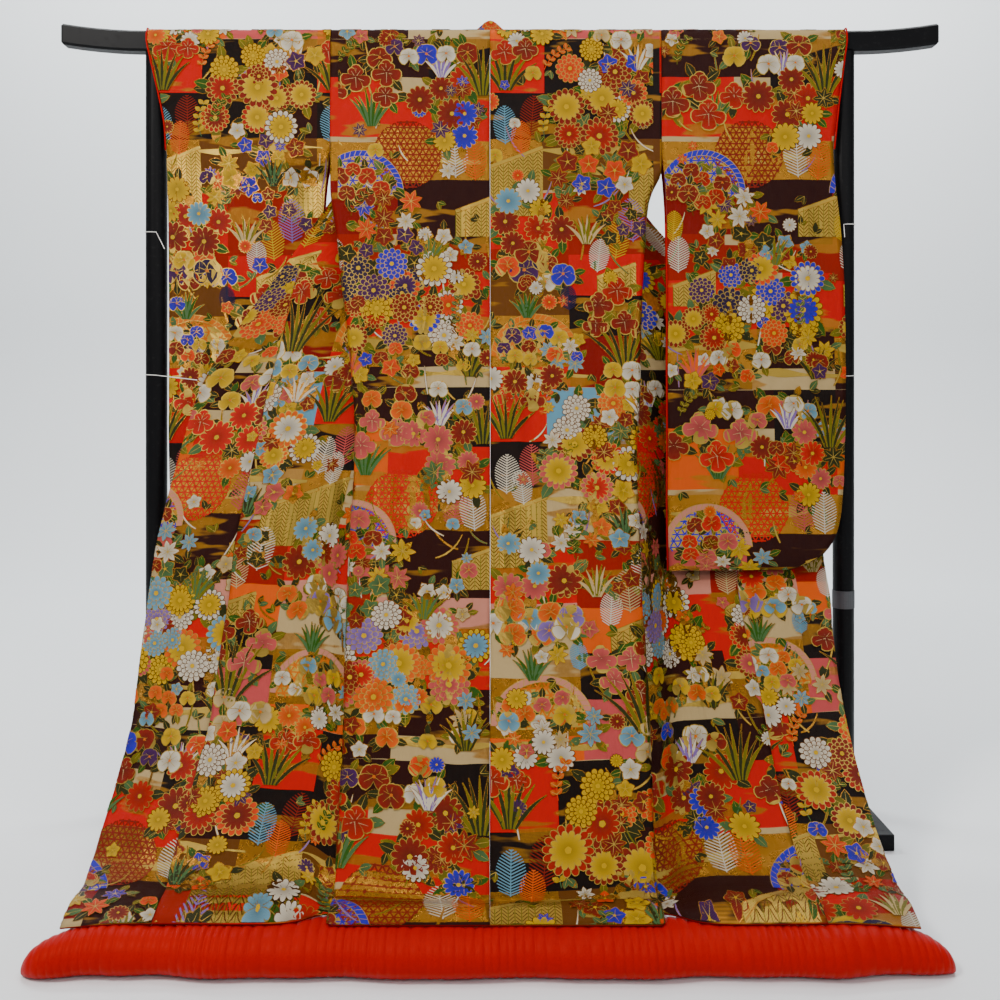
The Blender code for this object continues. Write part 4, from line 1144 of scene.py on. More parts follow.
    def mist(self, place: Point, width: float, height: float, silk: Silk) -> None:
        """Adds a drifting band of gold mist with a wavy edge."""
        line, halves = [], []
        phase = self.chance.uniform(0.0, 6.0)
        for step in range(16):
            part = step / 15
            line.append(
                (place[0] + width * (part - 0.5), place[1] + 0.2 * height * math.sin(5.0 * part + phase))
            )
            bulge = 0.65 + 0.35 * math.sin(11.0 * part + phase)
            halves.append(0.5 * height * math.sin(math.pi * min(max(part, 0.03), 0.97)) ** 0.6 * bulge)
        self.strip(line, halves, silk.value, -0.3)

    def next_level(self) -> float:
        """A level for the next figure, so that figures that overlap don't share one."""
        self.order += 1
        return 2.0 + 1.3 * (self.order % 4)


class Flower(Enum):
    """The kinds of flower that a bunch holds."""

    POMPOM = "pompom"
    DOUBLE = "double"
    DAISY = "daisy"
    BELL = "bell"
    PANSY = "pansy"
    IRIS = "iris"
    STAR = "star"


class Bunch(NamedTuple):
    """A bunch of flowers: its kind, middle, reach across and down, number, size and colours."""

    kind: Flower
    u: float
    t: float
    reach_u: float
    reach_t: float
    count: int
    radius: float
    silks: Range


class Figure(NamedTuple):
    """One large figure: its kind, place and size."""

    kind: str
    u: float
    t: float
    size: float
    silk: Silk
    second: Silk


class Block(NamedTuple):
    """A block of plain ground: its range across and down, and its colour."""

    u0: float
    u1: float
    t0: float
    t1: float
    silk: Silk


@dataclass(frozen=True)
class Design:
    """One repeat of the weave: blocks of ground, large figures and bunches of flowers."""

    blocks: tuple[Block, ...]
    figures: tuple[Figure, ...]
    bunches: tuple[Bunch, ...]


GARDEN = Design(
    blocks=(
        Block(0.000, 0.210, 0.000, 0.075, Silk.MAROON),
        Block(0.210, 0.328, 0.000, 0.115, Silk.BLACK),
        Block(0.000, 0.140, 0.075, 0.190, Silk.SALMON),
        Block(0.140, 0.328, 0.115, 0.200, Silk.VERMILION),
        Block(0.000, 0.328, 0.200, 0.275, Silk.GOLD),
        Block(0.000, 0.150, 0.275, 0.380, Silk.PINK),
        Block(0.150, 0.328, 0.275, 0.400, Silk.MAROON),
        Block(0.000, 0.120, 0.380, 0.470, Silk.TERRACOTTA),
        Block(0.120, 0.328, 0.400, 0.455, Silk.BLUSH),
        Block(0.230, 0.328, 0.455, 0.560, Silk.VERMILION),
        Block(0.000, 0.230, 0.470, 0.580, Silk.VERMILION),
        Block(0.000, 0.180, 0.580, 0.640, Silk.GOLD),
        Block(0.180, 0.328, 0.560, 0.640, Silk.MAROON),
        Block(0.000, 0.170, 0.640, 0.680, Silk.MAROON),
    ),
    figures=(
        Figure("mist", 0.160, 0.235, 0.30, Silk.PALE_GOLD, Silk.GOLD),
        Figure("mist", 0.100, 0.600, 0.26, Silk.PALE_GOLD, Silk.GOLD),
        Figure("mist", 0.240, 0.650, 0.20, Silk.PALE_GOLD, Silk.GOLD),
        Figure("fern", 0.262, 0.270, 0.085, Silk.WHITE, Silk.PINK),
        Figure("fern", 0.300, 0.275, 0.080, Silk.SALMON, Silk.WHITE),
        Figure("fern", 0.030, 0.455, 0.070, Silk.WHITE, Silk.CREAM),
        Figure("fern", 0.020, 0.395, 0.060, Silk.YELLOW, Silk.GOLD),
        Figure("ball", 0.168, 0.225, 0.066, Silk.CRIMSON, Silk.SALMON),
        Figure("arch", 0.078, 0.300, 0.078, Silk.ROYAL, Silk.PALE_GOLD),
        Figure("fence", 0.262, 0.385, 0.080, Silk.GOLD, Silk.GOLD),
        Figure("fence", 0.020, 0.520, 0.060, Silk.GOLD, Silk.GOLD),
        Figure("clump", 0.100, 0.170, 0.075, Silk.SAGE, Silk.GREEN),
        Figure("clump", 0.235, 0.075, 0.055, Silk.WHITE, Silk.LILAC),
        Figure("clump", 0.315, 0.110, 0.100, Silk.OLIVE, Silk.DEEP_GREEN),
        Figure("clump", 0.215, 0.440, 0.060, Silk.OLIVE, Silk.SAGE),
        Figure("clump", 0.060, 0.660, 0.060, Silk.PINK, Silk.SALMON),
        Figure("clump", 0.290, 0.660, 0.070, Silk.DEEP_GREEN, Silk.OLIVE),
        Figure("sprig", 0.060, 0.345, 0.060, Silk.DEEP_GREEN, Silk.DARK_GOLD),
        Figure("sprig", 0.270, 0.560, 0.055, Silk.SAGE, Silk.GOLD),
        Figure("sprig", 0.030, 0.050, 0.055, Silk.GREEN, Silk.OLIVE),
    ),
    bunches=(
        Bunch(Flower.STAR, 0.270, 0.140, 0.055, 0.050, 3, 0.022, DEEPS),
        Bunch(Flower.IRIS, 0.090, 0.105, 0.075, 0.045, 4, 0.027, REDS),
        Bunch(Flower.PANSY, 0.190, 0.030, 0.100, 0.030, 6, 0.021, MIXED),
        Bunch(Flower.DAISY, 0.230, 0.105, 0.060, 0.045, 4, 0.028, REDS),
        Bunch(Flower.DAISY, 0.265, 0.170, 0.050, 0.035, 3, 0.024, MIXED),
        Bunch(Flower.PANSY, 0.070, 0.285, 0.055, 0.035, 7, 0.018, REDS),
        Bunch(Flower.STAR, 0.130, 0.340, 0.060, 0.040, 6, 0.020, MIXED),
        Bunch(Flower.BELL, 0.140, 0.415, 0.095, 0.040, 9, 0.018, DEEPS),
        Bunch(Flower.BELL, 0.250, 0.400, 0.060, 0.035, 4, 0.016, LIGHTS),
        Bunch(Flower.POMPOM, 0.130, 0.480, 0.085, 0.050, 6, 0.030, BLUES),
        Bunch(Flower.DOUBLE, 0.230, 0.490, 0.075, 0.060, 5, 0.033, MIXED),
        Bunch(Flower.POMPOM, 0.190, 0.550, 0.110, 0.035, 6, 0.029, MIXED),
        Bunch(Flower.DOUBLE, 0.070, 0.555, 0.060, 0.040, 4, 0.024, REDS),
        Bunch(Flower.PANSY, 0.200, 0.620, 0.110, 0.040, 9, 0.016, WARMS),
        Bunch(Flower.STAR, 0.290, 0.600, 0.040, 0.040, 3, 0.018, LIGHTS),
        Bunch(Flower.BELL, 0.080, 0.650, 0.080, 0.030, 6, 0.016, MIXED),
    ),
)
BASKETS = Design(
    blocks=(
        Block(0.000, 0.105, 0.000, 0.105, Silk.VERMILION),
        Block(0.105, 0.328, 0.000, 0.110, Silk.SKY),
        Block(0.000, 0.230, 0.105, 0.195, Silk.BLACK),
        Block(0.230, 0.328, 0.110, 0.195, Silk.MAROON),
        Block(0.000, 0.100, 0.195, 0.300, Silk.GOLD),
        Block(0.100, 0.328, 0.195, 0.295, Silk.CREAM),
        Block(0.000, 0.150, 0.300, 0.410, Silk.VERMILION),
        Block(0.150, 0.328, 0.295, 0.420, Silk.TERRACOTTA),
        Block(0.000, 0.150, 0.410, 0.455, Silk.BLUSH),
        Block(0.000, 0.150, 0.455, 0.540, Silk.CREAM),
        Block(0.150, 0.328, 0.420, 0.500, Silk.SALMON),
        Block(0.150, 0.328, 0.500, 0.580, Silk.BLACK),
        Block(0.000, 0.150, 0.540, 0.640, Silk.GOLD),
        Block(0.150, 0.328, 0.580, 0.680, Silk.PINK),
        Block(0.000, 0.150, 0.640, 0.680, Silk.SALMON),
    ),
    figures=(
        Figure("mist", 0.220, 0.215, 0.24, Silk.PALE_GOLD, Silk.GOLD),
        Figure("mist", 0.230, 0.260, 0.20, Silk.PALE_GOLD, Silk.GOLD),
        Figure("mist", 0.080, 0.655, 0.22, Silk.PALE_GOLD, Silk.GOLD),
        Figure("fern", 0.030, 0.205, 0.075, Silk.SKY, Silk.WHITE),
        Figure("fern", 0.078, 0.190, 0.080, Silk.CRIMSON, Silk.PINK),
        Figure("fern", 0.060, 0.225, 0.065, Silk.SALMON, Silk.WHITE),
        Figure("fern", 0.275, 0.395, 0.085, Silk.LILAC, Silk.WHITE),
        Figure("fern", 0.240, 0.430, 0.080, Silk.YELLOW, Silk.CREAM),
        Figure("fern", 0.205, 0.455, 0.065, Silk.WHITE, Silk.WHITE),
        Figure("fern", 0.150, 0.530, 0.050, Silk.NAVY, Silk.SKY),
        Figure("fence", -0.060, 0.345, 0.120, Silk.GOLD, Silk.GOLD),
        Figure("fence", 0.205, 0.500, 0.055, Silk.GOLD, Silk.GOLD),
        Figure("arch", 0.085, 0.620, 0.078, Silk.AMBER, Silk.PALE_GOLD),
        Figure("clump", 0.030, 0.100, 0.090, Silk.DEEP_GREEN, Silk.OLIVE),
        Figure("clump", 0.255, 0.640, 0.125, Silk.DEEP_GREEN, Silk.OLIVE),
        Figure("clump", 0.070, 0.545, 0.055, Silk.SAGE, Silk.GREEN),
        Figure("clump", 0.185, 0.400, 0.060, Silk.CREAM, Silk.OLIVE),
        Figure("clump", 0.240, 0.285, 0.060, Silk.DEEP_GREEN, Silk.SAGE),
        Figure("clump", 0.285, 0.060, 0.055, Silk.WHITE, Silk.GOLD),
        Figure("sprig", 0.105, 0.060, 0.060, Silk.SALMON, Silk.ORANGE),
        Figure("sprig", 0.105, 0.190, 0.065, Silk.YELLOW, Silk.SAGE),
        Figure("sprig", 0.130, 0.170, 0.060, Silk.GREEN, Silk.OLIVE),
        Figure("sprig", 0.150, 0.330, 0.070, Silk.SAGE, Silk.GREEN),
    ),
    bunches=(
        Bunch(Flower.IRIS, 0.040, 0.022, 0.040, 0.015, 2, 0.024, REDS),
        Bunch(Flower.POMPOM, 0.190, 0.060, 0.070, 0.040, 4, 0.028, WARMS),
        Bunch(Flower.BELL, 0.270, 0.040, 0.060, 0.040, 6, 0.018, MIXED),
        Bunch(Flower.DOUBLE, 0.190, 0.140, 0.075, 0.055, 4, 0.034, REDS),
        Bunch(Flower.DOUBLE, 0.285, 0.140, 0.045, 0.040, 3, 0.031, WARMS),
        Bunch(Flower.STAR, 0.240, 0.100, 0.080, 0.050, 4, 0.018, DEEPS),
        Bunch(Flower.BELL, 0.230, 0.245, 0.090, 0.050, 10, 0.019, MIXED),
        Bunch(Flower.DAISY, 0.060, 0.325, 0.050, 0.035, 3, 0.025, LIGHTS),
        Bunch(Flower.DAISY, 0.080, 0.375, 0.065, 0.035, 4, 0.028, REDS),
        Bunch(Flower.STAR, 0.150, 0.275, 0.040, 0.050, 4, 0.018, WARMS),
        Bunch(Flower.PANSY, 0.070, 0.445, 0.065, 0.035, 7, 0.023, WARMS),
        Bunch(Flower.PANSY, 0.110, 0.455, 0.060, 0.030, 3, 0.024, BLUES),
        Bunch(Flower.IRIS, 0.250, 0.530, 0.070, 0.050, 6, 0.026, REDS),
        Bunch(Flower.PANSY, 0.080, 0.595, 0.060, 0.030, 9, 0.016, MIXED),
        Bunch(Flower.STAR, 0.130, 0.630, 0.050, 0.035, 5, 0.018, LIGHTS),
        Bunch(Flower.DAISY, 0.060, 0.665, 0.060, 0.020, 5, 0.021, WARMS),
        Bunch(Flower.PANSY, 0.260, 0.655, 0.060, 0.030, 5, 0.019, LIGHTS),
        Bunch(Flower.BELL, 0.250, 0.345, 0.075, 0.050, 6, 0.015, DEEPS),
    ),
)


class Weaver:
    """Draws a design's repeats down a panel and lays them on its cloth."""

    LEAVES = (Silk.GREEN, Silk.DEEP_GREEN, Silk.SAGE, Silk.DEEP_GREEN, Silk.OLIVE)

    def __init__(self, cloth: Cloth, design: Design, shift_u: float, shift_t: float, seed: int) -> None:
        """Sets what is drawn where.

        Args:
            cloth: The panel.
            design: The repeat it wears.
            shift_u: How far the design is moved across.
            shift_t: How far the design is moved down.
            seed: Sets the small chance differences.
        """
        self.cloth = cloth
        self.design = design
        self.shift_u = shift_u
        self.shift_t = shift_t
        self.sheet = FigureSheet(seed)

    def _figure(self, figure: Figure, u: float, t: float, tone: Tone) -> None:
        """Draws one large figure."""
        sheet = self.sheet
        silks = (figure.silk, figure.second)
        first = silks[0] if tone is Tone.JEWEL else silks[1]
        if figure.kind == "mist":
            sheet.mist((u, t), figure.size, 0.09 * figure.size, figure.silk)
        elif figure.kind == "fern":
            sheet.fern((u, t), -math.pi / 2 + sheet.chance.uniform(-0.12, 0.12), figure.size, first)
        elif figure.kind == "ball":
            sheet.lattice(
                (u, t),
                figure.size,
                0.0105,
                figure.silk if tone is Tone.JEWEL else Silk.VERMILION,
                Silk.GOLD,
                False,
            )
        elif figure.kind == "arch":
            sheet.lattice((u, t), figure.size - 0.006, 0.0125, figure.silk, figure.second, True)
            sheet.arch((u, t), figure.size, 0.0052, figure.silk if tone is Tone.JEWEL else Silk.BLUSH)
        elif figure.kind == "fence":
            sheet.fence((u, t), 1.35 * figure.size, 0.62 * figure.size, 0.5 * figure.size)
        elif figure.kind == "clump":
            sheet.clump((u, t), figure.size, 9, silks)
        else:
            sheet.sprig(
                (u, t),
                -math.pi / 2 + sheet.chance.uniform(-0.7, 0.4),
                figure.size,
                5,
                first,
                figure.second,
            )

    def _bunch(self, bunch: Bunch, u: float, t: float, tone: Tone) -> None:
        """Draws a bunch of flowers with leaves beside them."""
        sheet, chance = self.sheet, self.sheet.chance
        silks = bunch.silks[tone.value]
        found: list[tuple[float, float, float]] = []
        for _ in range(60 * bunch.count):
            if len(found) == bunch.count:
                break
            angle, reach = chance.uniform(0.0, 2.0 * math.pi), math.sqrt(chance.random())
            radius = bunch.radius * chance.uniform(0.82, 1.18)
            place = (u + bunch.reach_u * reach * math.cos(angle), t + bunch.reach_t * reach * math.sin(angle))
            if all(math.hypot(place[0] - a, place[1] - b) > 0.82 * (radius + r) for a, b, r in found):
                found.append((*place, radius))
        for a, b, radius in found:
            for _ in range(3):
                turn = chance.uniform(0.0, 2.0 * math.pi)
                leaf = chance.choice(self.LEAVES)
                sheet.leaf((a + 0.6 * radius * math.cos(turn), b + 0.6 * radius * math.sin(turn)), turn,
                           0.95 * radius + 0.006, leaf, 1.2 + 0.5 * chance.random())
        for index, (a, b, radius) in enumerate(found):
            silk = silks[(index + chance.randrange(2)) % len(silks)]
            other = silks[(index + 1) % len(silks)]
            self._flower(bunch.kind, (a, b), radius, silk, other)

    def _flower(self, kind: Flower, place: Point, radius: float, silk: Silk, other: Silk) -> None:
        """Draws one flower."""
        sheet = self.sheet
        if kind is Flower.POMPOM:
            sheet.chrysanthemum(place, radius, 3, 14, silk, silk)
        elif kind is Flower.DOUBLE:
            sheet.chrysanthemum(place, radius, 2, 16, silk, other if other is not silk else Silk.YELLOW)
        elif kind is Flower.DAISY:
            sheet.chrysanthemum(place, radius, 1, 13, silk, silk)
        elif kind is Flower.BELL:
            sheet.bell(place, radius, silk)
        elif kind is Flower.PANSY:
            sheet.pansy(place, radius, silk)
        elif kind is Flower.IRIS:
            sheet.iris(place, radius, silk)
        else:
            sheet.star_leaf(place, radius, 7, silk)

    def _scatter(self, u: float, t: float, tone: Tone) -> None:
        """Draws the grasses, leaves and small flowers that fill one repeat."""
        sheet, chance = self.sheet, self.sheet.chance
        grasses = (Silk.GOLD, Silk.PALE_GOLD, Silk.OLIVE, Silk.WHITE, Silk.LILAC, Silk.SAGE)
        for _ in range(26):
            root = (u + chance.uniform(0.0, CLOTH_WIDTH), t + chance.uniform(0.0, REPEAT))
            lean, tall = chance.uniform(-0.9, 0.9), chance.uniform(0.035, 0.075)
            tip = (root[0] + tall * math.sin(lean), root[1] - tall * math.cos(lean))
            sheet.blade(root, tip, 0.3 * lean, 0.0010, chance.choice(grasses), 0.9 + chance.random())
        for _ in range(30):
            root = (u + chance.uniform(0.0, CLOTH_WIDTH), t + chance.uniform(0.0, REPEAT))
            turn = chance.uniform(0.0, 2.0 * math.pi)
            for spread in (-0.5, 0.5):
                leaf = chance.choice(self.LEAVES)
                sheet.leaf(root, turn + spread, chance.uniform(0.014, 0.024), leaf, 1.0 + chance.random())
        kinds = (Flower.BELL, Flower.DAISY, Flower.PANSY, Flower.STAR, Flower.DAISY)
        for _ in range(18):
            place = (u + chance.uniform(0.0, CLOTH_WIDTH), t + chance.uniform(0.0, REPEAT))
            silk = chance.choice(MIXED[tone.value])
            self._flower(chance.choice(kinds), place, chance.uniform(0.010, 0.018), silk, silk)

    def draw(self) -> None:
        """Draws every repeat that reaches the panel."""
        top, end = self.cloth.t[0], self.cloth.t[-1]
        low, high = self.cloth.u.min(), self.cloth.u.max()
        columns = range(
            math.floor((low - self.shift_u) / CLOTH_WIDTH),
            math.ceil((high - self.shift_u) / CLOTH_WIDTH),
        )
        rows = range(math.floor((top - self.shift_t) / REPEAT), math.ceil((end - self.shift_t) / REPEAT))
        for column in columns:
            for row in rows:
                tone = Tone.PASTEL if row % 2 else Tone.JEWEL
                u, t = self.shift_u + column * CLOTH_WIDTH, self.shift_t + row * REPEAT
                self._scatter(u, t, tone)
                for figure in self.design.figures:
                    if low - 0.1 < u + figure.u < high + 0.1 and top - 0.1 < t + figure.t < end + 0.1:
                        self._figure(figure, u + figure.u, t + figure.t, tone)
                for bunch in self.design.bunches:
                    if low - 0.1 < u + bunch.u < high + 0.1 and top - 0.1 < t + bunch.t < end + 0.1:
                        self._bunch(bunch, u + bunch.u, t + bunch.t, tone)

    def _cut(self) -> None:
        """Cuts the drawing where the cloth bends sharply and drops what lies outside the panel."""
        mesh, cloth = self.sheet.mesh, self.cloth
        low, high = cloth.figure_range.min(), cloth.figure_range.max()
        gone = []
        for face in mesh.faces:
            middle = face.calc_center_median()
            row = np.interp(middle.y, cloth.t, np.arange(len(cloth.t)))
            edges = cloth.figure_range[int(round(float(row)))]
            reach = max((vert.co - middle).length for vert in face.verts)
            outside = not cloth.t[0] - reach < middle.y < cloth.t[-1] + reach
            if outside or middle.x < edges[0] - 0.5 * reach or middle.x > edges[1] + 0.5 * reach:
                gone.append(face)
        bmesh.ops.delete(mesh, geom=gone, context="FACES")
        if cloth.name.startswith("back"):
            left = cloth.name.endswith("left")
            for step in range(26):
                u = low + 0.005 * step if left else high - 0.005 * step
                bmesh.ops.bisect_plane(
                    mesh, geom=mesh.verts[:] + mesh.edges[:] + mesh.faces[:], dist=1e-5,
                    plane_co=(u, 0.0, 0.0), plane_no=(1.0, 0.0, 0.0),
                )

    def piece(self, material: bpy.types.Material) -> bpy.types.Object:
        """Draws the figures and lays them on the cloth.

        Args:
            material: The figures' material.

        Returns:
            The finished piece.
        """
        self.draw()
        self._cut()
        mesh, cloth = self.sheet.mesh, self.cloth
        flat = np.array([tuple(vert.co) for vert in mesh.verts])
        rows = np.interp(flat[:, 1], cloth.t, np.arange(len(cloth.t)))
        low = np.interp(rows, np.arange(len(cloth.t)), cloth.figure_range[:, 0])
        high = np.interp(rows, np.arange(len(cloth.t)), cloth.figure_range[:, 1])
        u = np.clip(flat[:, 0], low, high)
        t = np.clip(flat[:, 1], cloth.t[0] + 0.0005, cloth.t[-1] - 0.0005)
        lift = SHELL_HALF + FIGURE_LIFT + FIGURE_STEP * flat[:, 2]
        placed = cloth.place(u, t, lift)
        weave = mesh.loops.layers.uv.new("weave")
        bake = mesh.loops.layers.uv.new("OFBake")
        span = (cloth.u.min(), np.ptp(cloth.u), cloth.t[0], np.ptp(cloth.t))
        mesh.verts.ensure_lookup_table()
        mesh.verts.index_update()
        for face in mesh.faces:
            for loop in face.loops:
                index = loop.vert.index
                loop[weave].uv = (u[index], -t[index])
                loop[bake].uv = ((u[index] - span[0]) / span[1], (t[index] - span[2]) / span[3])
        for vert in mesh.verts:
            vert.co = placed[vert.index]
        bmesh.ops.dissolve_degenerate(mesh, dist=1e-5, edges=mesh.edges[:])
        if not cloth.flipped:
            bmesh.ops.reverse_faces(mesh, faces=mesh.faces[:])
        mesh.normal_update()
        self._turn_outwards(mesh, cloth)
        return finished("figures_" + cloth.name, mesh, [material])

    @staticmethod
    def _turn_outwards(mesh: bmesh.types.BMesh, cloth: Cloth) -> None:
        """Turns the whole drawing over if it looks into the cloth."""
        score = 0.0
        grid = cloth.points[::4, ::2].reshape(-1, 3)
        normals = cloth.normals[::4, ::2].reshape(-1, 3)
        for face in list(mesh.faces)[:: max(1, len(mesh.faces) // 200)]:
            middle = np.array(face.calc_center_median())
            nearest = int(np.argmin(((grid - middle) ** 2).sum(axis=1)))
            score += float(np.dot(np.array(face.normal), normals[nearest]))
        if score < 0.0:
            bmesh.ops.reverse_faces(mesh, faces=mesh.faces[:])


Number = Union[float, "Value"]


class Value:
    """A shader socket that takes part in arithmetic."""

    def __init__(self, graph: "Graph", socket: bpy.types.NodeSocket) -> None:
        self.graph = graph
        self.socket = socket

    def __add__(self, other: Number) -> "Value":
        return self.graph.maths("ADD", self, other)

    def __radd__(self, other: Number) -> "Value":
        return self.graph.maths("ADD", other, self)

    def __sub__(self, other: Number) -> "Value":
        return self.graph.maths("SUBTRACT", self, other)

    def __rsub__(self, other: Number) -> "Value":
        return self.graph.maths("SUBTRACT", other, self)

    def __mul__(self, other: Number) -> "Value":
        return self.graph.maths("MULTIPLY", self, other)

    def __rmul__(self, other: Number) -> "Value":
        return self.graph.maths("MULTIPLY", other, self)

    def __gt__(self, other: Number) -> "Value":
        return self.graph.maths("GREATER_THAN", self, other)

    def __lt__(self, other: Number) -> "Value":
        return self.graph.maths("LESS_THAN", self, other)

    def __mod__(self, other: Number) -> "Value":
        return self.graph.maths("FLOORED_MODULO", self, other)


class Graph:
    """A material's node tree, built by arithmetic on its sockets."""

    def __init__(self, name: str) -> None:
        self.material = bpy.data.materials.new(name)
        self.material.use_nodes = True
        self.tree = self.material.node_tree
        self.shader = self.tree.nodes["Principled BSDF"]

    def node(self, kind: str, inputs: dict, output: Union[int, str] = 0, **settings) -> Value:
        """Adds a node.

        Args:
            kind: The node's type name.
            inputs: Values or sockets by input name or number.
            output: Which output is wanted.
            **settings: Properties of the node.

        Returns:
            The wanted output.
        """
        made = self.tree.nodes.new(kind)
        for name, value in settings.items():
            setattr(made, name, value)
        for name, value in inputs.items():
            if isinstance(value, Value):
                self.tree.links.new(value.socket, made.inputs[name])
            else:
                made.inputs[name].default_value = value
        return Value(self, made.outputs[output])

    def maths(self, operation: str, first: Number, second: Number = 0.0) -> Value:
        """A Math node of two values."""
        return self.node("ShaderNodeMath", {0: first, 1: second}, operation=operation)

    def set(self, **inputs: Union[Number, Colour]) -> None:
        """Sets the surface shader's sockets, named with underscores."""
        for name, value in inputs.items():
            socket = self.shader.inputs[name.replace("_", " ").title().replace("Ior", "IOR")]
            if isinstance(value, Value):
                self.tree.links.new(value.socket, socket)
            else:
                socket.default_value = value

    def mix(self, share: Number, first: Union[Value, Colour], second: Union[Value, Colour]) -> Value:
        """A mix of two colours."""
        return self.node("ShaderNodeMix", {0: share, 6: first, 7: second}, 2, data_type="RGBA")

    def noise(self, vector: Value, scale: float, detail: float = 2.0) -> Value:
        """A noise value of 0 to 1."""
        return self.node("ShaderNodeTexNoise", {"Vector": vector, "Scale": scale, "Detail": detail})

    def band(self, value: Value, low: float, high: float) -> Value:
        """A smooth rise from 0 to 1 between two values."""
        made = {"Value": value, "From Min": low, "From Max": high}
        return self.node("ShaderNodeMapRange", made, interpolation_type="SMOOTHSTEP")

    def weave(self) -> tuple[Value, Value, Value]:
        """The weave's coordinates: as a vector, across and down."""
        vector = self.node("ShaderNodeUVMap", {}, uv_map="weave")
        parts = self.tree.nodes.new("ShaderNodeSeparateXYZ")
        self.tree.links.new(vector.socket, parts.inputs[0])
        return vector, Value(self, parts.outputs[0]), 0.0 - Value(self, parts.outputs[1])

    def place(self) -> Value:
        """The piece's own coordinates."""
        return self.node("ShaderNodeTexCoord", {}, "Object")

    def stretched(self, vector: Value, scale: Sequence[float]) -> Value:
        """The coordinates scaled differently along each axis."""
        return self.node("ShaderNodeVectorMath", {0: vector, 1: tuple(scale)}, operation="MULTIPLY")

    def bump(self, height: Value, distance: float, strength: float) -> Value:
        """A bumped normal."""
        return self.node("ShaderNodeBump", {"Height": height, "Distance": distance, "Strength": strength})

    def wave(self, along: Value, pitch: float) -> Value:
        """A smooth wave of 0 to 1 with this pitch."""
        return 0.5 + 0.5 * self.maths("SINE", along * (2.0 * math.pi / pitch))


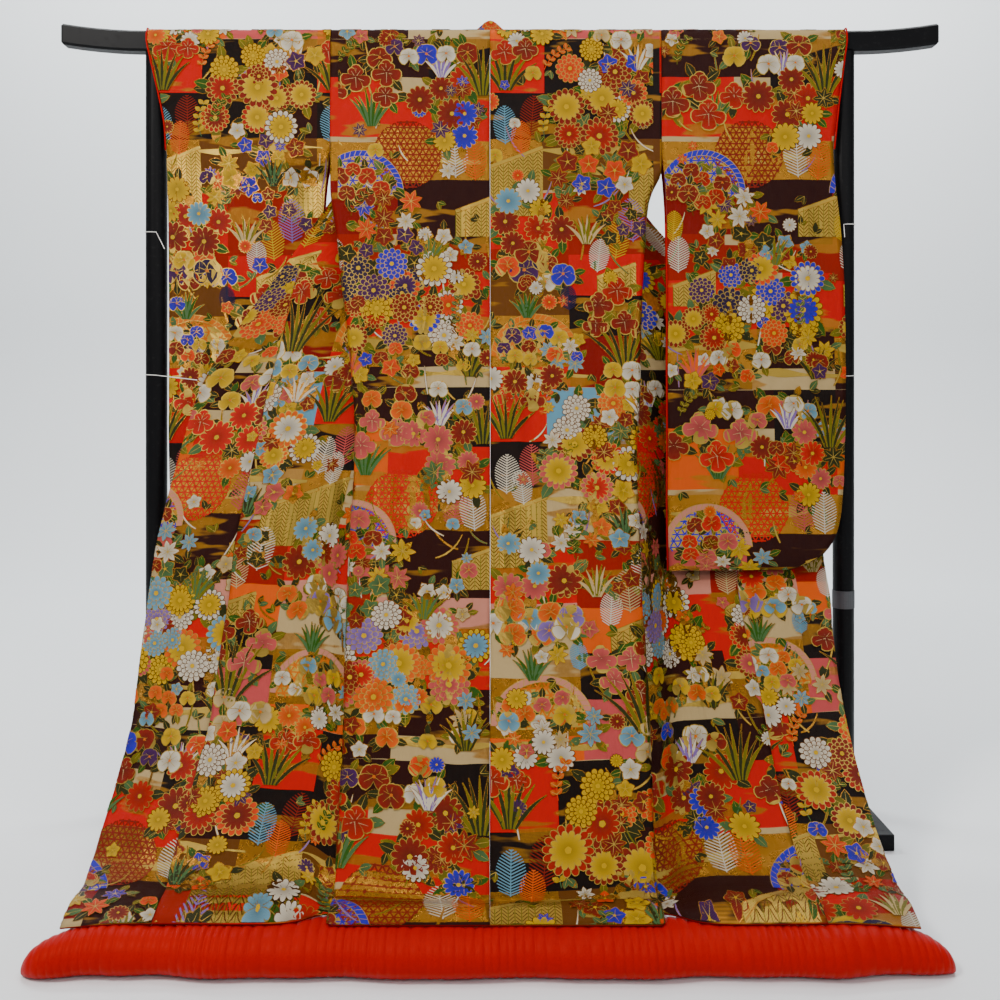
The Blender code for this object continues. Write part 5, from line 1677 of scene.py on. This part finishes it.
class Finishes:
    """The scene's materials."""

    def __init__(self) -> None:
        self.figures = self._figures()
        self.lining = self._silk("red_lining", srgb(168, 16, 10), 0.46)
        self.hem = self._silk("red_hem_silk", srgb(204, 0, 0), 0.40)
        self.lacquer = self._lacquer()
        self.thread = self._thread()
        self.tape = self._tape()

    @staticmethod
    def ground(name: str, design: Design, shift_u: float, shift_t: float) -> bpy.types.Material:
        """The brocade's ground: blocks of colour crossed by drifts of gold thread."""
        graph = Graph(name)
        vector, u, t = graph.weave()
        across = (u - shift_u) % CLOTH_WIDTH
        down = (t - shift_t) % REPEAT
        wobble = (graph.noise(vector, 9.0, 1.0) - 0.5) * 0.006
        colour: Union[Value, Colour] = Silk.CREAM.value[:3] + (1.0,)
        metal: Number = 0.10
        pastel = (t - shift_t) % (2.0 * REPEAT) > REPEAT
        for block in design.blocks:
            plain = block.silk.value
            deep = JEWEL_GROUNDS.get(block.silk, block.silk).value
            dyed = (
                graph.mix(pastel, deep[:3] + (1.0,), plain[:3] + (1.0,))
                if deep is not plain
                else plain[:3] + (1.0,)
            )
            inside = (
                ((across > block.u0) * (across < block.u1))
                * ((down + wobble > block.t0) * (down + wobble < block.t1))
            )
            colour = graph.mix(inside, colour, dyed)
            metal = metal + inside * (plain[3] - 0.10)
        drift = graph.noise(graph.stretched(vector, (5.0, 22.0, 1.0)), 1.0, 3.0)
        gilt = graph.band(drift, 0.565, 0.610)
        threads = graph.wave(t, 0.0021)
        gilt = gilt * (0.55 + 0.45 * threads)
        colour = graph.mix(gilt, colour, Silk.GOLD.value[:3] + (1.0,))
        soft = graph.noise(vector, 60.0, 4.0)
        colour = graph.mix(0.10 * soft, colour, Silk.DARK_GOLD.value[:3] + (1.0,))
        crinkle = graph.noise(graph.stretched(vector, (90.0, 34.0, 1.0)), 1.0, 3.0)
        rumple = graph.noise(graph.stretched(vector, (24.0, 13.0, 1.0)), 1.0, 2.0)
        cords = graph.wave(u, 0.0011) * 0.3 + graph.wave(t, 0.0008) * 0.3
        height = rumple * 7.0 + crinkle * 2.6 + cords
        metal = graph.maths("MINIMUM", metal * (1.0 - gilt) + gilt * 0.8, 0.9)
        graph.set(
            base_color=colour, metallic=metal, roughness=0.38 + 0.14 * soft - 0.19 * metal,
            specular_ior_level=0.10, normal=graph.bump(height, 0.0008, 0.8),
        )
        return graph.material

    @staticmethod
    def _figures() -> bpy.types.Material:
        """The figures' floss: each corner's own colour in fine threads."""
        graph = Graph("woven_figures")
        vector, u, t = graph.weave()
        own = graph.node("ShaderNodeAttribute", {}, "Color", attribute_name="figure")
        metal = graph.node("ShaderNodeAttribute", {}, "Alpha", attribute_name="figure")
        threads = graph.wave(t + 0.3 * u, 0.0013)
        worn = graph.noise(vector, 140.0, 2.0)
        colour = graph.mix(0.24 * threads, own, (0.0, 0.0, 0.0, 1.0))
        colour = graph.mix(0.10 * worn, colour, Silk.GOLD.value[:3] + (1.0,))
        height = threads + worn * 0.8
        graph.set(
            base_color=colour, metallic=metal * 0.95, roughness=0.38 + 0.16 * worn - 0.20 * metal,
            specular_ior_level=0.10, normal=graph.bump(height, 0.0005, 0.5),
        )
        return graph.material

    @staticmethod
    def _silk(name: str, colour: Colour, roughness: float) -> bpy.types.Material:
        """Plain red silk with a fine twill and a soft sheen."""
        graph = Graph(name)
        place = graph.place()
        cloudy = graph.noise(place, 14.0, 3.0)
        fine = graph.noise(graph.stretched(place, (900.0, 300.0, 900.0)), 1.0, 2.0)
        slub = graph.noise(graph.stretched(place, (40.0, 240.0, 240.0)), 1.0, 2.0)
        base = graph.mix(0.30 * cloudy + 0.18 * slub, colour[:3] + (1.0,), darker(colour, 0.55)[:3] + (1.0,))
        graph.set(
            base_color=base, roughness=roughness + 0.14 * fine, specular_ior_level=0.12,
            specular_tint=(1.0, 0.35, 0.25, 1.0), normal=graph.bump(fine + slub, 0.0004, 0.35),
        )
        return graph.material

    @staticmethod
    def _lacquer() -> bpy.types.Material:
        """Black lacquer with brush waviness and a little dust."""
        graph = Graph("black_lacquer_finish")
        place = graph.place()
        wavy = graph.noise(graph.stretched(place, (9.0, 30.0, 9.0)), 1.0, 2.0)
        dust = graph.band(graph.noise(place, 120.0, 4.0), 0.55, 0.75)
        base = graph.mix(0.02 * dust, (0.003, 0.003, 0.0035, 1.0), (0.25, 0.24, 0.23, 1.0))
        graph.set(
            base_color=base, roughness=0.38 + 0.08 * wavy + 0.12 * dust, specular_ior_level=0.10,
            normal=graph.bump(wavy, 0.0008, 0.08),
        )
        return graph.material

    @staticmethod
    def _thread() -> bpy.types.Material:
        """White cotton thread with its twist."""
        graph = Graph("white_thread")
        place = graph.place()
        twist = graph.noise(graph.stretched(place, (700.0, 700.0, 1400.0)), 1.0, 1.0)
        base = graph.mix(0.35 * twist, (0.82, 0.80, 0.76, 1.0), (0.5, 0.48, 0.44, 1.0))
        graph.set(base_color=base, roughness=0.62 + 0.2 * twist, normal=graph.bump(twist, 0.0002, 0.5))
        return graph.material

    @staticmethod
    def _tape() -> bpy.types.Material:
        """Dark matt tape with fine wrinkles."""
        graph = Graph("grey_tape")
        place = graph.place()
        fine = graph.noise(graph.stretched(place, (200.0, 200.0, 900.0)), 1.0, 3.0)
        base = graph.mix(fine, (0.035, 0.035, 0.038, 1.0), (0.075, 0.075, 0.080, 1.0))
        graph.set(base_color=base, roughness=0.5 + 0.3 * fine, normal=graph.bump(fine, 0.0003, 0.4))
        return graph.material


@dataclass(frozen=True)
class Panel:
    """How a panel of cloth is dressed."""

    name: str
    cloth: Cloth
    design: Design
    shift_u: float
    shift_t: float
    seed: int
    rests_on: str


class Robe:
    """The whole robe's panels; its hem roll and edge rolls are built by their own classes."""

    def __init__(self, form: RobeForm, finishes: Finishes) -> None:
        self.form = form
        self.finishes = finishes

    def back(self, side: int) -> Cloth:
        """One side of the back, from behind the bar down to the hem."""
        form = self.form
        stages = steps(0.0, 1.0, 30) + steps(1.0, 2.0, 8)[1:] + steps(2.0, 3.0, 4)[1:]

        def section(row: float) -> Section:
            places = [form.back_place(side, stage, row) for stage in stages]
            points = [form.back(side, place, row) for place in places]
            across = [place if side > 0 else CLOTH_WIDTH - place for place in places]
            shown = across[38]
            return points, across, min(across[0], shown), max(across[0], shown)

        name = "back_" + SIDE_NAMES[side]
        return Cloth(name, section, -float(len(OVER_BAR)), LAST_ROW, -1.0, BACK_CREASES, top=-0.075)

    def front(self, side: int) -> Cloth:
        """One front: behind the back, round its turn and out as a wing."""
        form = self.form
        stages = steps(0.0, 1.0, 8) + steps(1.0, 2.0, 8)[1:] + steps(2.0, 3.0, 38)[1:]

        def section(row: float) -> Section:
            taken = table_row(SIDES[side], row).okumi + SEAM if row >= OKUMI_TOP_ROW else 0.0
            edge = form.edge_stage(side, taken, row)
            fold = table_row(SIDES[side], row).fold
            points = []
            for stage in stages:
                points.append(form.wing(side, stage if stage <= 2.0 else lerp(2.0, edge, stage - 2.0), row))
            gone = [0.0]
            for a, b in zip(points[::-1], points[-2::-1]):
                gone.append(gone[-1] + (b - a).length)
            gone = gone[::-1]
            shown = max([g for g, p in zip(gone[17:], points[17:]) if abs(p.x) > fold - 0.04], default=0.01)
            across = [g if side < 0 else CLOTH_WIDTH - g for g in gone]
            limits = sorted((across[-1], shown if side < 0 else CLOTH_WIDTH - shown))
            return points, across, limits[0], limits[1]

        return Cloth("front_" + SIDE_NAMES[side], section, 0.0, LAST_ROW, -1.0, WING_CREASES, top=0.015)

    def okumi(self, side: int) -> Cloth:
        """The tapered panel beside the front's free edge."""
        form = self.form

        def section(row: float) -> Section:
            width = table_row(SIDES[side], row).okumi
            parts = steps(1.0, 0.0, 16)
            points = [form.wing(side, form.edge_stage(side, width * part, row), row) for part in parts]
            across = [width * part if side < 0 else 0.17 - width * part for part in parts]
            return points, across, min(across), max(across)

        return Cloth("okumi_" + SIDE_NAMES[side], section, OKUMI_TOP_ROW, LAST_ROW, -1.0, (), top=0.45)

    def collar(self, side: int) -> Cloth:
        """The collar band behind one front's edge."""
        form = self.form

        def section(row: float) -> Section:
            width = COLLAR_WIDTH * lerp(0.8, 1.0, smoothstep(row))
            parts = steps(1.0, 0.0, 6)
            points = []
            for part in parts:
                point = form.wing(side, form.edge_stage(side, width * part, row), row)
                point.y += COLLAR_LAY
                points.append(point)
            across = [width * part if side < 0 else COLLAR_WIDTH - width * part for part in parts]
            return points, across, min(across), max(across)

        return Cloth("collar_" + SIDE_NAMES[side], section, 0.0, COLLAR_END_ROW, 1.0, (), top=0.2)

    def neck(self) -> Cloth:
        """The collar's stretch behind the neck."""
        left, right = self.form.wing(-1, 3.0, 0.0), self.form.wing(1, 3.0, 0.0)
        middle, half = 0.5 * (left.x + right.x), 0.5 * (right.x - left.x)
        band = COLLAR_WIDTH * 0.8
        base = LEVELS[0].z + SEAM + 0.0004

        def section(height: float) -> Section:
            points, across = [], []
            for place in steps(-1.0, 1.0, 48):
                lift = 1.0 - abs(place) ** 2.2
                crown = math.exp(-((place * half / 0.028) ** 2))
                outer = Vector((middle + half * place, 0.0, base + 0.026 * lift**0.6 + 0.030 * crown))
                inner = Vector((middle + (half - band) * place, 0.0, base + 0.004 * lift))
                point = outer.lerp(inner, height)
                point.y = left.y + COLLAR_LAY - 0.010 * lift
                points.append(point)
                across.append(half * (place + 1.0))
            return points, across, min(across), max(across)

        return Cloth("collar_neck", section, 0.0, 1.0, -1.0, (), top=0.02, spacing=0.008)

    def sleeve(self, side: int, rear: bool) -> Cloth:
        """One layer of a sleeve."""
        form = self.form
        width = 0.353

        def section(row: float) -> Section:
            points = [form.sleeve(side, part, row, rear) for part in steps(0.0, 1.0, 34)]
            reach = [abs(point.x) - ARMHOLE_X[side] for point in points]
            across = [r if side > 0 else width - r for r in reach]
            return points, across, min(across), max(across)

        layer = "inner" if rear else "outer"
        first, top = (0.0, 0.015) if rear else (-float(len(OVER_BAR)), -0.075)
        name = "sleeve_%s_%s" % (SIDE_NAMES[side], layer)
        return Cloth(name, section, first, LAST_SLEEVE_ROW, 1.0 if rear else -1.0, SLEEVE_CREASES, top=top)

    def panels(self) -> list[Panel]:
        """Every panel with its share of the design."""
        made = [
            Panel("back_left", self.back(-1), GARDEN, 0.0, 0.0, 11, "rack_bar"),
            Panel("back_right", self.back(1), BASKETS, 0.0, 0.0, 12, "rack_bar"),
            Panel("front_left", self.front(-1), BASKETS, 0.10, 0.0, 13, "rack_bar"),
            Panel("front_right", self.front(1), GARDEN, -0.05, 0.0, 14, "rack_bar"),
            Panel("okumi_left", self.okumi(-1), GARDEN, -0.12, 0.0, 15, "hem_roll"),
            Panel("okumi_right", self.okumi(1), BASKETS, -0.04, 0.0, 16, "hem_roll"),
            Panel("collar_left", self.collar(-1), GARDEN, 0.0, 0.1, 17, "rack_bar"),
            Panel("collar_right", self.collar(1), BASKETS, 0.0, 0.1, 18, "rack_bar"),
            Panel("collar_neck", self.neck(), BASKETS, -0.03, 0.0, 19, "rack_bar"),
        ]
        for side in (-1, 1):
            design = BASKETS if side < 0 else GARDEN
            for rear in (False, True):
                cloth = self.sleeve(side, rear)
                made.append(Panel(cloth.name, cloth, design, 0.0, 0.0, 20 + 2 * side + rear, "rack_bar"))
        return made

    def dress(self) -> None:
        grounds: dict[tuple[int, float, float], bpy.types.Material] = {}
        for panel in self.panels():
            key = (id(panel.design), panel.shift_u, panel.shift_t)
            if key not in grounds:
                name = "brocade_ground_%d" % (len(grounds) + 1)
                grounds[key] = Finishes.ground(name, panel.design, panel.shift_u, panel.shift_t)
            shell = panel.cloth.shell([grounds[key], self.finishes.lining])
            figures = Weaver(
                panel.cloth, panel.design, panel.shift_u, panel.shift_t, panel.seed
            ).piece(self.finishes.figures)
            for piece in (shell, figures):
                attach(piece, "root")
            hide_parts(panel.name)
            width, length, area = panel.cloth.flat_size()
            LOG.info("%s: cut %.3f x %.3f m", panel.name, width, length)


@dataclass(frozen=True)
class HemRollSize:
    """The padded hem roll's sizes."""

    left: float = -0.6655
    right: float = 0.6355
    depth: float = 0.045
    height: float = 0.033
    axis: float = 0.0295
    back: float = 0.0035
    tip: float = 0.008
    taper: float = 0.130
    stations: int = 900
    around: int = 32
    gather: float = 0.0010


class HemRoll:
    """The thick padded roll of red silk along the hem."""

    def __init__(self, size: HemRollSize, finishes: Finishes) -> None:
        self.size = size
        self.finishes = finishes

    def line(self, place: float) -> tuple[float, float, float]:
        """The axis from the left tip to the right tip: x, depth and taper."""
        size = self.size
        x = lerp(size.left, size.right, place)
        reach = abs(x) / 0.65
        depth = (
            LEVELS[LAST_ROW].y_centre
            + size.back
            + 0.010 * reach**2
            - 0.012 * smoothstep((reach - 0.85) / 0.15)
        )
        depth += 0.003 * math.sin(23.0 * x + 0.7) + 0.0015 * math.sin(51.0 * x)
        from_tip = min(x - size.left, size.right - x)
        point = size.tip / size.depth
        taper = (
            point
            + (1.0 - point) * math.sqrt(max(0.0, 1.0 - (1.0 - min(from_tip / size.taper, 1.0)) ** 2))
        )
        return x, depth, taper

    def gathers(self, x: float, angle: float) -> float:
        """How far the gathered silk stands out: fine puckers by the seam that soften downwards."""
        near_seam = smoothstep(0.5 + 0.5 * math.sin(angle))
        fine = abs(math.sin(215.0 * x + 2.4 * math.sin(31.0 * x) + 0.35 * math.cos(angle))) ** 0.6
        fine += 0.5 * abs(math.sin(127.0 * x + 3.1 * math.sin(17.0 * x + 1.0) - 0.5 * math.cos(angle))) ** 0.7
        broad = math.sin(43.0 * x + 1.7 * math.sin(13.0 * x)) + 0.7 * math.sin(29.0 * x)
        return self.size.gather * (2.4 * (fine - 1.1) * (0.35 + 0.65 * near_seam) + 0.6 * broad)

    @staticmethod
    def filling(x: float, angle: float) -> float:
        """How far the wadding rises behind the crown, up to the turned-under hem."""
        rear = max(0.0, math.cos(angle)) if math.sin(angle) > 0.0 else 0.0
        fade = 1.0 - smoothstep((rear - 0.72) / 0.25)
        return 0.0150 * rear**2 * fade * (1.0 - smoothstep((abs(x) - 0.36) / 0.06))

    def build(self) -> bpy.types.Object:
        """Builds the roll as a closed padded form."""
        size = self.size
        mesh = bmesh.new()
        bmesh.ops.create_grid(mesh, x_segments=size.stations, y_segments=size.around, size=0.5)
        for vert in mesh.verts:
            place = vert.co.x + 0.5
            angle = 2.0 * math.pi * (vert.co.y + 0.5)
            x, depth, taper = self.line(place)
            swell = taper * self.gathers(x, angle)
            y = depth + (size.depth * taper + swell) * math.cos(angle)
            z = size.axis * taper + (size.height * taper + swell) * math.sin(angle) + self.filling(x, angle)
            vert.co = Vector((x, y + RACK_Y, max(0.0, z)))
        bmesh.ops.remove_doubles(mesh, verts=mesh.verts[:], dist=0.00004)
        bmesh.ops.holes_fill(mesh, edges=[edge for edge in mesh.edges if edge.is_boundary], sides=0)
        bmesh.ops.recalc_face_normals(mesh, faces=mesh.faces[:])
        for face in mesh.faces:
            face.smooth = True
        piece = finished("padded_hem_roll", mesh, [self.finishes.hem])
        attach(piece, "root")
        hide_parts("hem_roll")
        return piece


class EdgeRolls:
    """The lining's narrow rolls beside the sleeves' open edges."""

    AROUND = 10

    def __init__(self, form: RobeForm, finishes: Finishes) -> None:
        self.form = form
        self.finishes = finishes

    def _tube(self, name: str, keys: Sequence[Vector], node: str) -> None:
        """A soft uneven tube through the points."""
        points = smooth_path(keys, 6)
        mesh = bmesh.new()
        bmesh.ops.create_grid(mesh, x_segments=len(points) - 1, y_segments=self.AROUND, size=0.5)
        for vert in mesh.verts:
            index = round((vert.co.x + 0.5) * (len(points) - 1))
            angle = 2.0 * math.pi * (vert.co.y + 0.5)
            ahead = (points[min(index + 1, len(points) - 1)] - points[max(index - 1, 0)]).normalized()
            out = ahead.cross(Vector((1.0, 0.0, 0.0))).normalized()
            radius = EDGE_ROLL * (1.0 + 0.08 * math.sin(1.9 * index) + 0.05 * math.sin(0.7 * index + angle))
            vert.co = points[index] + radius * (math.cos(angle) * out + math.sin(angle) * ahead.cross(out))
            vert.co.y += RACK_Y
        bmesh.ops.remove_doubles(mesh, verts=mesh.verts[:], dist=0.00002)
        bmesh.ops.holes_fill(mesh, edges=[edge for edge in mesh.edges if edge.is_boundary], sides=0)
        bmesh.ops.recalc_face_normals(mesh, faces=mesh.faces[:])
        for face in mesh.faces:
            face.smooth = True
        piece = finished(name, mesh, [self.finishes.hem])
        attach(piece, "root")
        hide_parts(node)

    def build(self) -> None:
        """Builds the wrist and inner rolls of both sleeves."""
        out = EDGE_ROLL + 2.0 * TOUCH
        bar_middle = BAR_TOP - BAR_HEIGHT / 2
        for side, name in SIDE_NAMES.items():
            wrist = []
            for row in range(WRIST_ROW, -len(OVER_BAR), -1):
                point = self.form.sleeve(side, 1.0, float(row), False) + Vector((side * out, 0.0, 0.0))
                if row < 0:
                    point.y *= EDGE_ROLL_LIFT
                    point.z = bar_middle + EDGE_ROLL_LIFT * (point.z - bar_middle)
                wrist.append(point)
            inner = []
            for row in range(WRIST_ROW + 2, LAST_SLEEVE_ROW + 1):
                inner.append(self.form.sleeve(side, 0.0, float(row), False) - Vector((side * out, 0.0, 0.0)))
            self._tube("wrist_roll_" + name, wrist, "sleeve_%s_wrist_roll" % name)
            self._tube("inner_roll_" + name, inner, "sleeve_%s_inner_roll" % name)


class Rack:
    """The lacquered rack, its tape and the tying threads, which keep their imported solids."""

    def __init__(self, finishes: Finishes) -> None:
        self.finishes = finishes

    def dress(self) -> None:
        """Gives each kept solid its finish."""
        for name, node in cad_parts.items():
            if name.startswith("rack_tape"):
                finish = self.finishes.tape
            elif name.startswith("rack_"):
                finish = self.finishes.lacquer
            elif name.startswith("tie_"):
                finish = self.finishes.thread
            else:
                continue
            for index in range(len(node.material_slots)):
                node.material_slots[index].material = finish
            LOG.info("%s: finished", name)


@dataclass(frozen=True)
class StudioSize:
    """The studio round the object."""

    floor_front: float = -4.2
    wall: float = 4.0
    half_width: float = 5.5
    height: float = 6.0
    sweep: float = 1.2


class Studio:
    """A pale sweep of floor and wall, soft lights and the camera."""

    EYE = Vector((0.0, -1.9220, 0.80))

    def __init__(self, size: StudioSize) -> None:
        self.size = size

    def _sweep(self) -> None:
        """The floor that curves up into the wall."""
        size = self.size
        line = [(size.floor_front, 0.0), (size.wall - size.sweep, 0.0)]
        for step in range(1, 13):
            angle = 0.5 * math.pi * step / 12
            line.append(
                (
                    size.wall - size.sweep + size.sweep * math.sin(angle),
                    size.sweep * (1.0 - math.cos(angle)),
                )
            )
        line.append((size.wall, size.height))
        mesh = bmesh.new()
        bmesh.ops.create_grid(mesh, x_segments=1, y_segments=len(line) - 1, size=0.5)
        for vert in mesh.verts:
            y, z = line[round((vert.co.y + 0.5) * (len(line) - 1))]
            vert.co = Vector((2.0 * size.half_width * vert.co.x, y, z - 0.0004 if z == 0.0 else z))
        for face in mesh.faces:
            face.smooth = True
        graph = Graph("studio_paper")
        tint = graph.noise(graph.place(), 0.8, 1.0)
        base = graph.mix(tint, (0.83, 0.86, 0.88, 1.0), (0.88, 0.90, 0.92, 1.0))
        graph.set(base_color=base, roughness=0.85)
        finished("studio_sweep", mesh, [graph.material])

    @staticmethod
    def _light(
        name: str,
        place: Sequence[float],
        aim: Sequence[float],
        size: float,
        power: float,
        tint: Sequence[float],
    ) -> None:
        """One soft square light."""
        data = bpy.data.lights.new(name, "AREA")
        data.size = size
        data.energy = power
        data.color = tint
        lamp = bpy.data.objects.new(name, data)
        lamp.location = place
        lamp.rotation_mode = "QUATERNION"
        lamp.rotation_quaternion = (Vector(aim) - Vector(place)).to_track_quat("-Z", "Y")
        bpy.context.scene.collection.objects.link(lamp)

    def _camera(self) -> None:
        """The camera at the photograph's place, level, with its view moved down."""
        data = bpy.data.cameras.new("camera")
        data.lens = 39.6
        data.sensor_width = 36.0
        data.shift_y = -0.1
        camera = bpy.data.objects.new("camera", data)
        camera.location = self.EYE
        camera.rotation_euler = (math.radians(90.0), 0.0, 0.0)
        bpy.context.scene.collection.objects.link(camera)
        bpy.context.scene.camera = camera

    def build(self) -> None:
        """Sets up the camera, lights and sweep."""
        self._camera()
        self._sweep()
        self._light("key_light", (-1.6, -1.7, 2.7), (0.0, 0.1, 0.8), 0.7, 84.0, (1.0, 0.97, 0.93))
        self._light("fill_light", (2.3, -2.0, 1.5), (0.0, 0.1, 0.6), 1.4, 15.0, (0.95, 0.98, 1.0))
        self._light("front_light", (0.5, -2.7, 1.9), (0.0, 0.1, 0.7), 0.9, 16.0, (1.0, 0.98, 0.95))
        self._light("top_light", (0.4, -0.4, 3.2), (0.0, 0.2, 0.6), 1.4, 30.0, (1.0, 1.0, 1.0))
        self._light("wall_light_left", (-1.9, 2.1, 4.4), (-1.2, 4.0, 1.2), 1.8, 150.0, (0.97, 1.0, 1.0))
        self._light("wall_light_right", (1.9, 2.1, 4.4), (1.2, 4.0, 1.2), 1.8, 156.0, (0.97, 1.0, 1.0))
        world = bpy.data.worlds.new("studio_air")
        world.use_nodes = True
        world.node_tree.nodes["Background"].inputs["Color"].default_value = (0.92, 0.95, 1.0, 1.0)
        world.node_tree.nodes["Background"].inputs["Strength"].default_value = 0.27
        bpy.context.scene.world = world


def main() -> None:
    """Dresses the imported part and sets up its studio."""
    logging.basicConfig(level=logging.INFO, format="%(name)s: %(message)s")
    Studio(StudioSize()).build()
    finishes = Finishes()
    form = RobeForm()
    Robe(form, finishes).dress()
    HemRoll(HemRollSize(), finishes).build()
    EdgeRolls(form, finishes).build()
    Rack(finishes).dress()


if __name__ == "__main__":
    main()
